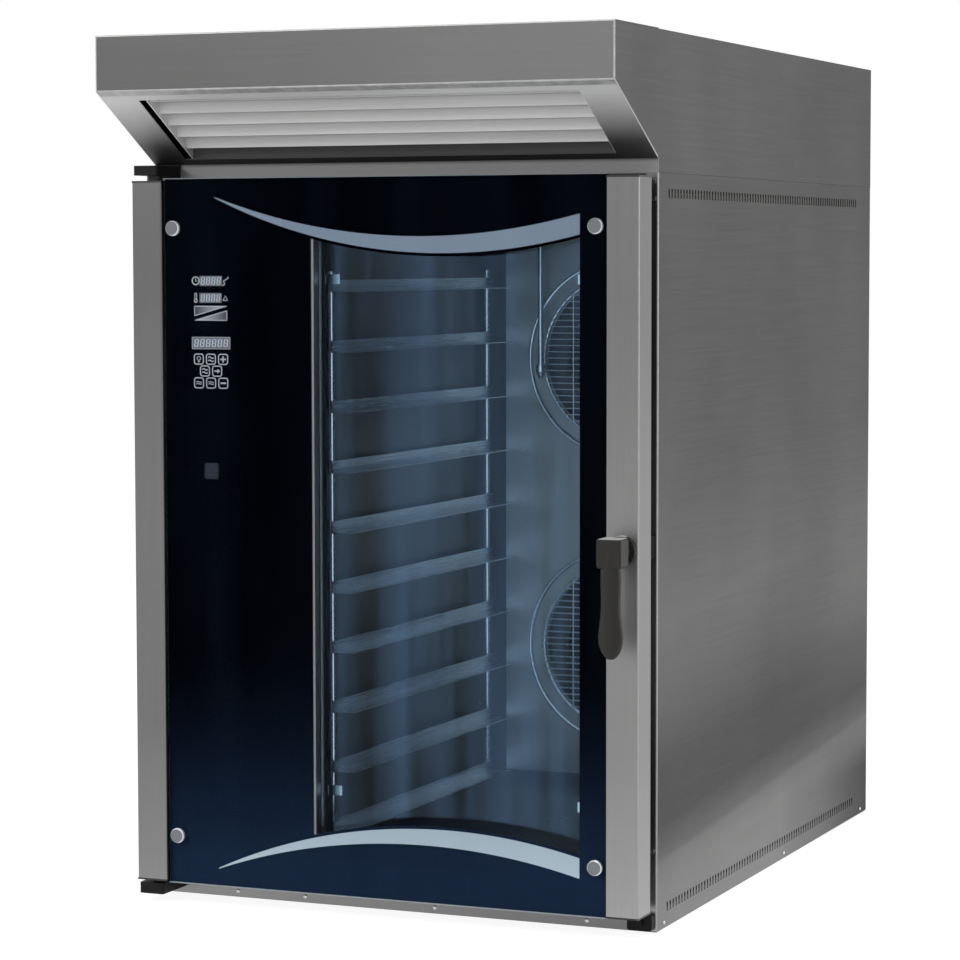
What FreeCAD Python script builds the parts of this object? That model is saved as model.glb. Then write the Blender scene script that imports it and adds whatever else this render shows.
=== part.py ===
import FreeCAD, Part
import os
import re
import Sketcher
from FreeCAD import Placement, Rotation, Vector

# Steam convection oven with a glass door and an extraction hood.
# Millimetres. X runs to the right, Y to the rear and Z up; the origin is the middle of the base.

SIZES = {
    # Oven body
    "body_width": 890,
    "body_depth": 1208,
    "body_height": 1202,
    "panel_sheet": 1.2,
    "panel_flange": 20,
    "panel_bend": 2.4,
    "panel_lift": 2,
    "base_height": 33,
    "base_sheet": 2,
    "fascia_sheet": 1.5,
    "slot_width": 6,
    "slot_height": 14.5,
    "slot_count": 75,
    "slot_front": 50,
    "slot_rear": 100,
    "slot_low": 26,
    "slot_drop": 25,
    "rear_vent_width": 6,
    "rear_vent_height": 70,
    "rear_vent_pitch": 18,
    "rear_vent_count": 20,
    "fit_gap": 0.2,
    "running_gap": 0.05,
    # Chamber
    "left_space": 280,
    "right_space": 70,
    "roof_space": 72,
    "rear_space": 286,
    "chamber_floor": 90,
    "chamber_sheet": 1.5,
    "chamber_corner": 18,
    "insulation_depth": 42,
    "gasket_offset": 8,
    "gasket_width": 16,
    "gasket_corner": 20,
    # Tray racks
    "rack_levels": 10,
    "rack_first": 23,
    "rack_headroom": 117,
    "rack_front": 60,
    "rack_rear": 27,
    "rack_wall_gap": 15,
    "rack_rod": 5,
    "rack_rod_low": 12,
    "rack_rod_high": 83,
    "ledge_width": 36,
    "ledge_leg": 20,
    "ledge_sheet": 1.5,
    "ledge_overrun": 12,
    "stud_radius": 4,
    "stud_low": 150,
    "stud_drop": 190,
    # Fans, baffle, guards and heating elements
    "fan_rise": 265,
    "fan_drop": 245,
    "fan_space": 165,
    "baffle_sheet": 1.5,
    "baffle_side_gap": 42,
    "baffle_end_gap": 24,
    "baffle_flange": 25,
    "baffle_post": 6,
    "baffle_post_inset": 30,
    "inlet_radius": 145,
    "guard_rim": 33,
    "guard_lap": 5,
    "guard_ring": 3,
    "guard_wire": 1.4,
    "guard_wires": 25,
    "guard_upright": 90,
    "wheel_radius": 150,
    "wheel_depth": 85,
    "wheel_sheet": 2,
    "wheel_eye": 112,
    "wheel_gap": 22,
    "wheel_blades": 24,
    "blade_lean": 14,
    "hub_radius": 24,
    "hub_length": 36,
    "shaft_radius": 10,
    "shaft_engage": 60,
    "seal_wall": 7,
    "seal_length": 12,
    "seal_gap": 0.3,
    "element_radius": 196,
    "element_tube": 4.2,
    "element_pitch": 24,
    "element_gap": 34,
    "element_opening": 20,
    "element_bend": 12,
    "element_step": 14,
    "motor_radius": 75,
    "motor_length": 128,
    "motor_plate": 190,
    "motor_plate_sheet": 4,
    "motor_leg": 6,
    "motor_bell": 45,
    "motor_bell_length": 24,
    # Steam, water and drain
    "steam_side": 120,
    "steam_front": 22,
    "steam_drop": 258,
    "steam_radius": 5,
    "steam_run_drop": 14,
    "steam_bend": 10,
    "nozzle_radius": 9,
    "nozzle_length": 12,
    "nozzle_tip": 3.5,
    "water_side": 115,
    "water_height": 260,
    "water_inset": 46,
    "inlet_pipe": 13.2,
    "inlet_reach": 22,
    "inlet_nut": 18,
    "inlet_nut_height": 4,
    "valve_width": 46,
    "valve_height": 54,
    "coil_radius": 17,
    "coil_height": 34,
    "drain_depth": 430,
    "drain_radius": 16,
    "drain_wall": 1.5,
    "drain_height": 22,
    "drain_bend": 20,
    "drain_reach": 30,
    "drain_spigot": 20,
    # Lamp and temperature probe
    "lamp_depth": 120,
    "lamp_drop": 50,
    "lamp_radius": 28,
    "lamp_flange": 34,
    "lamp_lens": 4,
    "lamp_cup": 38,
    "probe_side": 55,
    "probe_front": 67,
    "probe_radius": 3,
    "probe_length": 90,
    "probe_nut": 9,
    "probe_nut_height": 10,
    # Vent chimney and damper
    "chimney_depth": 480,
    "chimney_radius": 40,
    "chimney_sheet": 1.5,
    "chimney_rise": 88,
    "damper_rise": 50,
    "damper_sheet": 2,
    "damper_gap": 1.5,
    "damper_shaft": 4,
    "damper_reach": 34,
    "actuator_gap": 8,
    "actuator_width": 56,
    "actuator_depth": 48,
    "actuator_height": 78,
    # Electrics
    "plate_side": 145,
    "plate_front": 120,
    "plate_length": 560,
    "plate_height": 860,
    "plate_sheet": 2,
    "plate_foot": 30,
    "device_count": 4,
    "device_width": 62,
    "device_depth": 74,
    "device_height": 86,
    "device_pitch": 120,
    "device_low": 430,
    "gland_height": 130,
    "gland_bore": 9,
    "gland_radius": 14,
    "gland_nut": 20,
    "gland_nut_length": 8,
    "gland_reach": 26,
    # Hood
    "hood_height": 224,
    "hood_rail": 22,
    "hood_rail_depth": 24,
    "hood_overhang": 197,
    "hood_front_height": 90,
    "hood_return": 12,
    "slant_sheet": 1.4,
    "hood_lap": 15,
    "cheek_edge": 0.9,
    "hood_border": 65,
    "hood_front_border": 24,
    "hood_upstand": 21,
    "hood_rear_border": 14,
    "louvre_count": 5,
    "louvre_first": 36,
    "louvre_pitch": 31,
    "louvre_height": 26,
    "louvre_lip": 9,
    "louvre_inset": 5,
    "louvre_gap_left": 14,
    "louvre_gap_right": 2,
    "louvre_rail": 36,
    "louvre_rail_sheet": 2,
    "flue_radius": 75,
    "flue_sheet": 1.5,
    "flue_rise": 40,
    "flue_drop": 105,
    "flue_flange": 95,
    "flue_back": 230,
    "extractor_tip_gap": 5.5,
    "extractor_hub": 26,
    "extractor_depth": 36,
    "extractor_drop": 62,
    "extractor_blades": 7,
    "extractor_chord": 26,
    "extractor_blade_sheet": 3,
    "extractor_shaft": 5,
    "extractor_motor": 44,
    "extractor_motor_height": 84,
    "extractor_foot": 62,
    "extractor_foot_sheet": 5,
    # Door
    "door_side_gap": 1.5,
    "door_bottom": 35,
    "door_top_gap": 6,
    "door_gap": 25,
    "door_depth": 58.5,
    "stile_width": 54.5,
    "stile_sheet": 1.5,
    "stile_bend": 3,
    "stile_rear_lip": 45,
    "cap_sheet": 3,
    "cap_plug": 22,
    "glass_recess": 6.5,
    "glass_sheet": 6,
    "glass_lap": 6,
    "glass_below": 2.5,
    "glass_above": 4,
    "glass_cap_radius": 12.5,
    "glass_cap_height": 7,
    "glass_cap_edge": 2,
    "glass_cap_stud": 4,
    "glass_cap_side": 19,
    "glass_cap_inset": 78,
    "window_left": 270,
    "window_right": 44,
    "window_low": 82,
    "window_high": 81,
    "frame_sheet": 1.2,
    "frame_flange": 17,
    "pan_sheet": 1.5,
    "pan_ridge": 10,
    "inner_glass_sheet": 5,
    "inner_glass_lap": 9,
    "clip_width": 34,
    "clip_height": 16,
    "clip_sheet": 4,
    "clip_inset": 72,
    "control_side": 95.5,
    "control_width": 96,
    "control_drop": 139,
    "control_height": 210,
    "control_depth": 26,
    "control_wall": 2,
    "board_sheet": 1.6,
    # Hinges and brackets
    "hinge_inset": 27.5,
    "hinge_pin": 7,
    "hinge_pin_engage": 26,
    "hinge_foot_sheet": 5,
    "hinge_block_width": 45,
    "hinge_block_lap": 1.5,
    "hinge_block_height_low": 18,
    "hinge_block_height_high": 16,
    "hinge_gap_low": 5,
    "hinge_gap_high": 9,
    "hinge_round": 5,
    "bush_wall": 4,
    "bush_flange": 13,
    "bush_length": 20,
    "bracket_width": 42,
    "bracket_depth": 15,
    "bracket_low": 4,
    "bracket_height": 26,
    "screw_radius": 4,
    "screw_head": 2.5,
    "screw_edge": 8,
    "screw_drop": 14,
    "screw_second": 41,
    "screw_low": 130,
    "bolt_radius": 6.5,
    "bolt_head": 5,
    # Handle and latch
    "handle_drop": 581,
    "handle_reach": 62,
    "head_width": 41,
    "head_height": 46,
    "head_depth": 34,
    "head_edge": 3,
    "head_round": 5,
    "stem_radius": 17,
    "rosette_radius": 24,
    "rosette_depth": 9,
    "lever_length": 164,
    "lever_step": 33,
    "lever_neck": 16.5,
    "lever_waist": 16,
    "lever_shoulder": 17,
    "lever_swell": 20,
    "lever_half_depth": 12,
    "lever_tip_drop": 150,
    "lever_tip": 16.5,
    "lever_tip_depth": 10.5,
    "lever_brink_drop": 160,
    "lever_brink": 10,
    "lever_brink_depth": 7,
    "lever_end": 3.5,
    "lever_end_depth": 2.5,
    "spindle_radius": 5,
    "spindle_play": 0.6,
    "hook_hub": 9,
    "hook_length": 20,
    "hook_half_width": 6,
    "hook_sheet": 5,
    "hook_back": 4,
    "hook_gap": 0.6,
    "keeper_sheet": 3,
    "keeper_height": 36,
    "keeper_reach": 14,
}

doc = FreeCAD.newDocument("SteamConvectionOven")
sheet = doc.addObject("Spreadsheet::Sheet", "sizes")
for row, (name, value) in enumerate(SIZES.items(), start=1):
    sheet.set(f"A{row}", name)
    sheet.set(f"B{row}", str(value))
    sheet.setAlias(f"B{row}", name)
doc.recompute()

nodes = {}


def formula(text):
    """The text with every size's name pointing at its cell of the sheet."""
    return re.sub(
        r"[a-z][a-z_]*",
        lambda word: "sizes." + word.group() if word.group() in SIZES else word.group(),
        str(text),
    )


def number(text):
    """The value of a formula at the sheet's present sizes."""
    return float(sheet.evalExpression(formula(text)))


def bind(thing, **settings):
    for setting, text in settings.items():
        thing.setExpression(setting, formula(text))


def place(thing, x, y, z):
    for axis, text in zip("xyz", (x, y, z)):
        thing.setExpression(f"Placement.Base.{axis}", formula(text))
    return thing


def node(name, thing):
    """Name a finished sub-part."""
    thing.Label = name
    nodes[name] = thing
    return thing


# Solids: a direction word gives the axis that a round or extruded solid follows.

TURNS = {"x": Rotation(Vector(0, 1, 0), 90), "y": Rotation(Vector(1, 0, 0), -90), "z": Rotation()}
PLANES = {"x": "YZ_Plane", "y": "XZ_Plane", "z": "XY_Plane"}


def block(x, y, z):
    box = doc.addObject("Part::Box", "block")
    bind(box, Length=f"({x[1]}) - ({x[0]})", Width=f"({y[1]}) - ({y[0]})", Height=f"({z[1]}) - ({z[0]})")
    return place(box, x[0], y[0], z[0])


def rod(direction, start, length, radius):
    cylinder = doc.addObject("Part::Cylinder", "rod")
    cylinder.Placement = Placement(Vector(), TURNS[direction])
    bind(cylinder, Radius=radius, Height=length)
    return place(cylinder, *start)


def cone(direction, start, length, radius, end_radius):
    taper = doc.addObject("Part::Cone", "cone")
    taper.Placement = Placement(Vector(), TURNS[direction])
    bind(taper, Radius1=radius, Radius2=end_radius, Height=length)
    return place(taper, *start)


def ring(direction, centre, radius, thickness):
    torus = doc.addObject("Part::Torus", "ring")
    torus.Placement = Placement(Vector(), TURNS[direction])
    bind(torus, Radius1=radius, Radius2=thickness)
    return place(torus, *centre)


def join(*solids):
    fused = doc.addObject("Part::MultiFuse", "join")
    fused.Shapes = list(solids)
    return fused


def group(*solids):
    """Separate solids kept together in one sub-part."""
    compound = doc.addObject("Part::Compound", "group")
    compound.Links = list(solids)
    return compound


def cut(base, *tools):
    result = doc.addObject("Part::Cut", "cut")
    result.Base = base
    result.Tool = tools[0] if len(tools) == 1 else join(*tools)
    return result


def common(base, tool):
    """What two solids share."""
    shared = doc.addObject("Part::Common", "common")
    shared.Base = base
    shared.Tool = tool
    return shared


def tube(direction, start, length, radius, wall):
    bore = rod(direction, start, length, f"{radius} - {wall}")
    return cut(rod(direction, start, length, radius), bore)


def origin_feature(body, role):
    return next(feature for feature in body.Origin.OriginFeatures if feature.Role == role)


def outline(body, direction, at, *loops):
    """A sketch square to a direction: each loop is a list of corners, or a circle (u, v, radius)."""
    sketch = body.newObject("Sketcher::SketchObject", "outline")
    sketch.AttachmentSupport = (origin_feature(body, PLANES[direction]), [""])
    sketch.MapMode = "FlatFace"
    sketch.setExpression("AttachmentOffset.Base.z", formula(f"-({at})" if direction == "y" else at))
    for loop in loops:
        first = sketch.GeometryCount
        if isinstance(loop, tuple):
            centre = Vector(number(loop[0]), number(loop[1]), 0)
            sketch.addGeometry(Part.Circle(centre, Vector(0, 0, 1), number(loop[2])))
            pin_point(sketch, first, 3, loop[0], loop[1])
            size = sketch.addConstraint(Sketcher.Constraint("Radius", first, number(loop[2])))
            sketch.setExpression(f"Constraints[{size}]", formula(loop[2]))
            continue
        corners = [Vector(number(u), number(v), 0) for u, v in loop]
        count = len(corners)
        for i in range(count):
            sketch.addGeometry(Part.LineSegment(corners[i], corners[(i + 1) % count]))
        for i in range(count):
            ends = Sketcher.Constraint("Coincident", first + i, 2, first + (i + 1) % count, 1)
            sketch.addConstraint(ends)
        for i, (u, v) in enumerate(loop):
            pin_point(sketch, first + i, 1, u, v)
    return sketch


def pin_point(sketch, geometry, point, u, v):
    """Bind a sketch point's two coordinates to formulas."""
    for kind, text in (("DistanceX", u), ("DistanceY", v)):
        rule = Sketcher.Constraint(kind, -1, 1, geometry, point, number(text))
        index = sketch.addConstraint(rule)
        sketch.setExpression(f"Constraints[{index}]", formula(text))


def pad(body, direction, span, *loops):
    """Extrude an outline between the two places of span."""
    sketch = outline(body, direction, span[1] if direction == "y" else span[0], *loops)
    feature = body.newObject("PartDesign::Pad", "pad")
    feature.Profile = sketch
    bind(feature, Length=f"({span[1]}) - ({span[0]})")
    body.Tip = feature
    return feature


def new_body():
    return doc.addObject("PartDesign::Body", "piece")


def extrude(direction, span, *loops):
    body = new_body()
    pad(body, direction, span, *loops)
    return body


def along(edge, direction):
    """Whether an edge is straight and runs along the direction."""
    if edge.Curve.TypeId != "Part::GeomLine":
        return False
    return abs(getattr(edge.Curve.Direction, direction)) > 0.999


def rounded(body, direction, radius, *corners):
    """Round the body's edges that run along a direction, all of them or those at the named corners."""
    doc.recompute()
    base = body.Tip
    axes = [axis for axis in "xyz" if axis != direction]
    places = [[number(text) for text in corner] for corner in corners]
    names = []
    for i, edge in enumerate(base.Shape.Edges, start=1):
        if not along(edge, direction):
            continue
        at = [getattr(edge.CenterOfMass, axis) for axis in axes]
        if not places or any(abs(at[0] - u) + abs(at[1] - v) < 0.01 for u, v in places):
            names.append(f"Edge{i}")
    feature = body.newObject("PartDesign::Fillet", "round")
    feature.Base = (base, names)
    bind(feature, Radius=radius)
    body.Tip = feature
    return body


def rounded_rim(body, direction, at, radius):
    """Round every edge that lies in one end face of the body."""
    doc.recompute()
    base = body.Tip
    level = number(at)
    names = []
    for i, edge in enumerate(base.Shape.Edges, start=1):
        spots = [getattr(vertex.Point, direction) for vertex in edge.Vertexes]
        if all(abs(spot - level) < 0.01 for spot in spots):
            names.append(f"Edge{i}")
    feature = body.newObject("PartDesign::Fillet", "rim")
    feature.Base = (base, names)
    bind(feature, Radius=radius)
    body.Tip = feature
    return body


def rectangle(u, v):
    return [(u[0], v[0]), (u[1], v[0]), (u[1], v[1]), (u[0], v[1])]


def bent_pipe(points, bend, radius):
    """A round bar along straight runs joined by tangent arcs."""
    places = [Vector(*(number(text) for text in point)) for point in points]
    turn = number(bend)
    edges = []
    start = places[0]
    for before, corner, after in zip(places, places[1:], places[2:]):
        back = (before - corner).normalize()
        ahead = (after - corner).normalize()
        reach = turn / (((1 - back.dot(ahead)) / (1 + back.dot(ahead))) ** 0.5)
        bisector = (back + ahead).normalize()
        centre = corner + bisector * (reach**2 + turn**2) ** 0.5
        middle = centre - bisector * turn
        edges.append(Part.LineSegment(start, corner + back * reach).toShape())
        edges.append(Part.Arc(corner + back * reach, middle, corner + ahead * reach).toShape())
        start = corner + ahead * reach
    edges.append(Part.LineSegment(start, places[-1]).toShape())
    section = Part.Wire(Part.makeCircle(number(radius), places[0], places[1] - places[0]))
    feature = doc.addObject("Part::Feature", "pipe")
    feature.Shape = Part.Wire(edges).makePipeShell([section], True, False)
    return feature


# Planes that many pieces share

FRONT = "(-body_depth / 2)"
REAR = "(body_depth / 2)"
SIDE = "(body_width / 2)"
INSIDE = "(body_width / 2 - panel_sheet)"
HOOD_TOP = "(body_height + hood_height)"
CHEEK_TOP = "(body_height + hood_height - panel_sheet)"
HOOD_FRONT = "(-body_depth / 2 - hood_overhang)"
CHAMBER_LEFT = "(-body_width / 2 + left_space)"
CHAMBER_RIGHT = "(body_width / 2 - right_space)"
CENTRE = "((left_space - right_space) / 2)"
WELD_LEFT = "(-body_width / 2 + left_space + chamber_corner)"
WELD_RIGHT = "(body_width / 2 - right_space - chamber_corner)"
CEILING = "(body_height - roof_space)"
WALL_FRONT = "(body_depth / 2 - rear_space)"
WALL_BACK = "(body_depth / 2 - rear_space + chamber_sheet)"
BAFFLE = "(body_depth / 2 - rear_space - fan_space)"
BAFFLE_BACK = "(body_depth / 2 - rear_space - fan_space + baffle_sheet)"
MOTOR_FACE = "(body_depth / 2 - rear_space + chamber_sheet + insulation_depth)"
RACK_REAR = "(body_depth / 2 - rear_space - fan_space - rack_rear)"
GUARD_INNER = "(inlet_radius + guard_lap)"
DOOR_BACK = "(-body_depth / 2 - door_gap)"
DOOR_FRONT = "(-body_depth / 2 - door_gap - door_depth)"
DOOR_SIDE = "(body_width / 2 - door_side_gap)"
DOOR_TOP = "(body_height - door_top_gap)"
STILE_EDGE = "(body_width / 2 - door_side_gap - stile_width)"
GLASS_FRONT = "(-body_depth / 2 - door_gap - door_depth + glass_recess)"
GLASS_BACK = "(-body_depth / 2 - door_gap - door_depth + glass_recess + glass_sheet)"
GLASS_SIDE = "(body_width / 2 - door_side_gap - stile_width + glass_lap)"
PIVOT_X = "(-body_width / 2 + door_side_gap + hinge_inset)"
PIVOT_Y = "(-body_depth / 2 - door_gap - door_depth / 2)"
HANDLE_X = "(body_width / 2 - door_side_gap - stile_width / 2)"
HANDLE_Z = "(body_height - door_top_gap - handle_drop)"
HEAD_FRONT = "(-body_depth / 2 - door_gap - door_depth - handle_reach)"
STEAM_X = "(-body_width / 2 + left_space + steam_side)"
STEAM_Y = "(body_depth / 2 - rear_space - fan_space - steam_front)"
STEAM_END = "(body_height - roof_space - steam_drop)"
WATER_X = "(-body_width / 2 + water_side)"
PLATE_X = "(-body_width / 2 + plate_side)"
PROBE = (
    "(body_width / 2 - right_space - probe_side)",
    "(body_depth / 2 - rear_space - fan_space - probe_front)",
)
LAMP = ("(-body_depth / 2 + lamp_depth)", "(body_height - roof_space - lamp_drop)")
CHIMNEY_Y = "(-body_depth / 2 + chimney_depth)"
DRAIN_Y = "(-body_depth / 2 + drain_depth)"
FLUE_Y = "(body_depth / 2 - flue_back)"
FAN_HEIGHTS = {"upper": "(body_height - roof_space - fan_drop)", "lower": "(chamber_floor + fan_rise)"}


# Outer casing


def base_pan():
    outer = block(
        (f"-{INSIDE}", INSIDE),
        (f"{FRONT} + panel_sheet", f"{REAR} - panel_sheet"),
        ("0", "base_height"),
    )
    hollow = block(
        (f"-({INSIDE} - base_sheet)", f"({INSIDE} - base_sheet)"),
        (f"({FRONT} + panel_sheet + base_sheet)", f"({REAR} - panel_sheet - base_sheet)"),
        ("base_sheet", "(base_height + base_sheet)"),
    )
    notch = rod("y", (CENTRE, f"{REAR} - panel_flange", "drain_height"), "panel_flange",
                "drain_radius + fit_gap")
    node("base_pan", cut(outer, hollow, notch))


def side_panel(name, side):
    """A folded side with front and rear flanges and two rows of upright slots."""
    outer = f"{side} * {SIDE}"
    inner = f"{side} * {INSIDE}"
    edge = f"{side} * ({SIDE} - panel_flange)"
    body = extrude(
        "z",
        ("panel_lift", "body_height"),
        [
            (outer, FRONT),
            (edge, FRONT),
            (edge, f"{FRONT} + panel_sheet"),
            (inner, f"{FRONT} + panel_sheet"),
            (inner, f"{REAR} - panel_sheet"),
            (edge, f"{REAR} - panel_sheet"),
            (edge, REAR),
            (outer, REAR),
        ],
    )
    rounded(body, "z", "panel_bend", (outer, FRONT), (outer, REAR))
    start = f"({FRONT} + slot_front - slot_width / 2)"
    row = (start, f"({start} + slot_width)")
    high = "(body_height - slot_drop)"
    pocket = body.newObject("PartDesign::Pocket", "slots")
    pocket.Profile = outline(
        body,
        "x",
        "0",
        rectangle(row, ("slot_low", "slot_low + slot_height")),
        rectangle(row, (f"{high} - slot_height", high)),
    )
    pocket.Type = "ThroughAll"
    pocket.Midplane = True
    pattern = body.newObject("PartDesign::LinearPattern", "slot_rows")
    pattern.Originals = [pocket]
    pattern.Direction = (origin_feature(body, "Y_Axis"), [""])
    bind(pattern, Length="body_depth - slot_front - slot_rear", Occurrences="slot_count")
    body.Tip = pattern
    node(name, body)


def rear_panel():
    """The back sheet with two rows of vents at the motors and holes for water, drain and cable."""
    width = (f"-({SIDE} - panel_flange)", f"({SIDE} - panel_flange)")
    span = (f"({REAR} - panel_sheet)", REAR)
    body = extrude("y", span, rectangle(width, ("panel_lift", "body_height")))
    start = f"({CENTRE} - rear_vent_pitch * (rear_vent_count - 1) / 2 - rear_vent_width / 2)"
    row = (start, f"({start} + rear_vent_width)")
    pocket = body.newObject("PartDesign::Pocket", "vents")
    pocket.Profile = outline(
        body,
        "y",
        "0",
        *(
            rectangle(row, (f"{height} - rear_vent_height / 2", f"{height} + rear_vent_height / 2"))
            for height in FAN_HEIGHTS.values()
        ),
    )
    pocket.Type = "ThroughAll"
    pocket.Midplane = True
    pattern = body.newObject("PartDesign::LinearPattern", "vent_rows")
    pattern.Originals = [pocket]
    pattern.Direction = (origin_feature(body, "X_Axis"), [""])
    bind(pattern, Length="rear_vent_pitch * (rear_vent_count - 1)", Occurrences="rear_vent_count")
    body.Tip = pattern
    back = f"{REAR} - panel_flange"
    holes = [
        rod("y", (WATER_X, back, "water_height"), "2 * panel_flange", "inlet_pipe + fit_gap"),
        rod("y", (WATER_X, back, "gland_height"), "2 * panel_flange", "gland_radius + fit_gap"),
        rod("y", (CENTRE, back, "drain_height"), "2 * panel_flange", "drain_radius + fit_gap"),
    ]
    node("rear_panel", cut(body, *holes))


def top_panel():
    plate = block(
        (f"-{INSIDE}", INSIDE),
        (f"({FRONT} + panel_sheet)", f"({REAR} - panel_sheet)"),
        ("(body_height - panel_sheet)", "body_height"),
    )
    hole = rod("z", (CENTRE, CHIMNEY_Y, "body_height - panel_flange"), "2 * panel_flange",
               "chimney_radius + fit_gap")
    node("top_panel", cut(plate, hole))


def front_fascia():
    """The front frame round the chamber mouth, welded from two uprights and two cross strips.

    The uprights carry the mouth's round corners, and the left one also closes the electrics space."""
    depth = (FRONT, f"({FRONT} + fascia_sheet)")
    across = (f"-({SIDE} - panel_flange)", f"({SIDE} - panel_flange)")
    tall = ("base_height", "(body_height - panel_sheet)")
    body = extrude(
        "y",
        depth,
        rectangle(across, tall),
        rectangle((CHAMBER_LEFT, CHAMBER_RIGHT), ("chamber_floor", CEILING)),
    )
    corners = [(x, z) for x in (CHAMBER_LEFT, CHAMBER_RIGHT) for z in ("chamber_floor", CEILING)]
    rounded(body, "y", "chamber_corner", *corners)
    uprights = [
        common(body, block((across[0], WELD_LEFT), depth, tall)),
        common(body, block((WELD_RIGHT, across[1]), depth, tall)),
    ]
    strips = [
        block((WELD_LEFT, WELD_RIGHT), depth, (tall[0], "chamber_floor")),
        block((WELD_LEFT, WELD_RIGHT), depth, (CEILING, tall[1])),
    ]
    node("front_fascia", group(*uprights, *strips))


# Chamber


def chamber_liner():
    """A round-edged box open at the front, welded from floor, ceiling, rear wall and two side walls.

    The side walls carry the round edges and the welded studs of the tray racks."""
    mouth = f"({FRONT} + fascia_sheet)"
    outer = extrude(
        "y",
        (mouth, WALL_BACK),
        rectangle(
            (f"{CHAMBER_LEFT} - chamber_sheet", f"{CHAMBER_RIGHT} + chamber_sheet"),
            ("chamber_floor - chamber_sheet", f"{CEILING} + chamber_sheet"),
        ),
    )
    rounded(outer, "y", "chamber_corner + chamber_sheet")
    hollow = extrude(
        "y",
        (FRONT, WALL_FRONT),
        rectangle((CHAMBER_LEFT, CHAMBER_RIGHT), ("chamber_floor", CEILING)),
    )
    rounded(hollow, "y", "chamber_corner")
    through = "8 * chamber_sheet"
    above = f"{CEILING} - 4 * chamber_sheet"
    holes = [
        rod("y", (CENTRE, f"{WALL_FRONT} - 4 * chamber_sheet", height), through,
            "shaft_radius + seal_gap + seal_wall + fit_gap")
        for height in FAN_HEIGHTS.values()
    ]
    holes.append(rod("z", (CENTRE, CHIMNEY_Y, above), through, "chimney_radius + fit_gap"))
    holes.append(rod("z", (STEAM_X, STEAM_Y, above), through, "steam_radius + fit_gap"))
    holes.append(rod("z", (*PROBE, above), through, "probe_radius + fit_gap"))
    holes.append(rod("z", (CENTRE, DRAIN_Y, "chamber_floor - 4 * chamber_sheet"), through,
                     "drain_radius + fit_gap"))
    holes.append(rod("x", (f"{CHAMBER_RIGHT} - 4 * chamber_sheet", *LAMP),
                     through, "lamp_radius + fit_gap"))
    shell = cut(outer, hollow, *holes)
    depth = (mouth, WALL_FRONT)
    across = (f"({CHAMBER_LEFT} - chamber_sheet)", f"({CHAMBER_RIGHT} + chamber_sheet)")
    tall = ("(chamber_floor - chamber_sheet)", f"({CEILING} + chamber_sheet)")
    sheets = [
        common(shell, block((WELD_LEFT, WELD_RIGHT), depth, (tall[0], "chamber_floor"))),
        common(shell, block((WELD_LEFT, WELD_RIGHT), depth, (CEILING, tall[1]))),
        common(shell, block(across, (WALL_FRONT, WALL_BACK), tall)),
    ]
    spans = {CHAMBER_LEFT: (across[0], WELD_LEFT), CHAMBER_RIGHT: (WELD_RIGHT, across[1])}
    for wall, span in spans.items():
        start = wall if wall == CHAMBER_LEFT else f"{wall} - rack_wall_gap + rack_rod"
        studs = [
            rod("x", (start, y, z), "rack_wall_gap - rack_rod", "stud_radius")
            for y in (f"{FRONT} + rack_front", RACK_REAR)
            for z in ("chamber_floor + stud_low", f"{CEILING} - stud_drop")
        ]
        sheets.append(join(common(shell, block(span, depth, tall)), *studs))
    node("chamber_liner", group(*sheets))


def insulation():
    """Mineral wool slabs on the five closed sides of the chamber."""
    left = f"({CHAMBER_LEFT} - chamber_sheet)"
    right = f"({CHAMBER_RIGHT} + chamber_sheet)"
    low = "(chamber_floor - chamber_sheet)"
    high = f"({CEILING} + chamber_sheet)"
    depth = (f"({FRONT} + fascia_sheet)", WALL_BACK)
    tall = (f"({low} - insulation_depth)", f"({high} + insulation_depth)")
    across = "4 * insulation_depth"
    lamp = rod("x", (f"{right} - insulation_depth", *LAMP), across,
               "lamp_flange + fit_gap")
    drain = rod("z", (CENTRE, DRAIN_Y, f"{low} - 2 * insulation_depth"), across,
                "drain_radius + fit_gap")
    pipes = [
        rod("z", (CENTRE, CHIMNEY_Y, high), across, "chimney_radius + fit_gap"),
        rod("z", (STEAM_X, STEAM_Y, high), across, "steam_radius + fit_gap"),
        rod("z", (*PROBE, high), across, "probe_radius + fit_gap"),
    ]
    shafts = []
    for height in FAN_HEIGHTS.values():
        shafts.append(rod("y", (CENTRE, WALL_FRONT, height), across, "hub_radius"))
        for x, z in motor_leg_places(height):
            shafts.append(rod("y", (x, WALL_FRONT, z), across, "motor_leg + fit_gap"))
    node(
        "insulation",
        group(
            block((f"({left} - insulation_depth)", left), depth, tall),
            cut(block((right, f"({right} + insulation_depth)"), depth, tall), lamp),
            cut(block((left, right), depth, (f"({low} - insulation_depth)", low)), drain),
            cut(block((left, right), depth, (high, f"({high} + insulation_depth)")), *pipes),
            cut(block((left, right), (WALL_BACK, f"({WALL_BACK} + insulation_depth)"), (low, high)), *shafts),
        ),
    )


def seal_loop(offset):
    """A rectangle round the chamber mouth at an offset from its edge."""
    return rectangle(
        (f"{CHAMBER_LEFT} - {offset}", f"{CHAMBER_RIGHT} + {offset}"),
        (f"chamber_floor - {offset}", f"{CEILING} + {offset}"),
    )


def door_gasket():
    """The rubber seal on the fascia round the chamber mouth."""
    body = extrude(
        "y",
        (f"({DOOR_BACK} + pan_ridge + fit_gap)", FRONT),
        seal_loop("(gasket_offset + gasket_width)"),
        seal_loop("gasket_offset"),
    )
    node("door_gasket", rounded(body, "y", "gasket_corner"))


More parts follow.
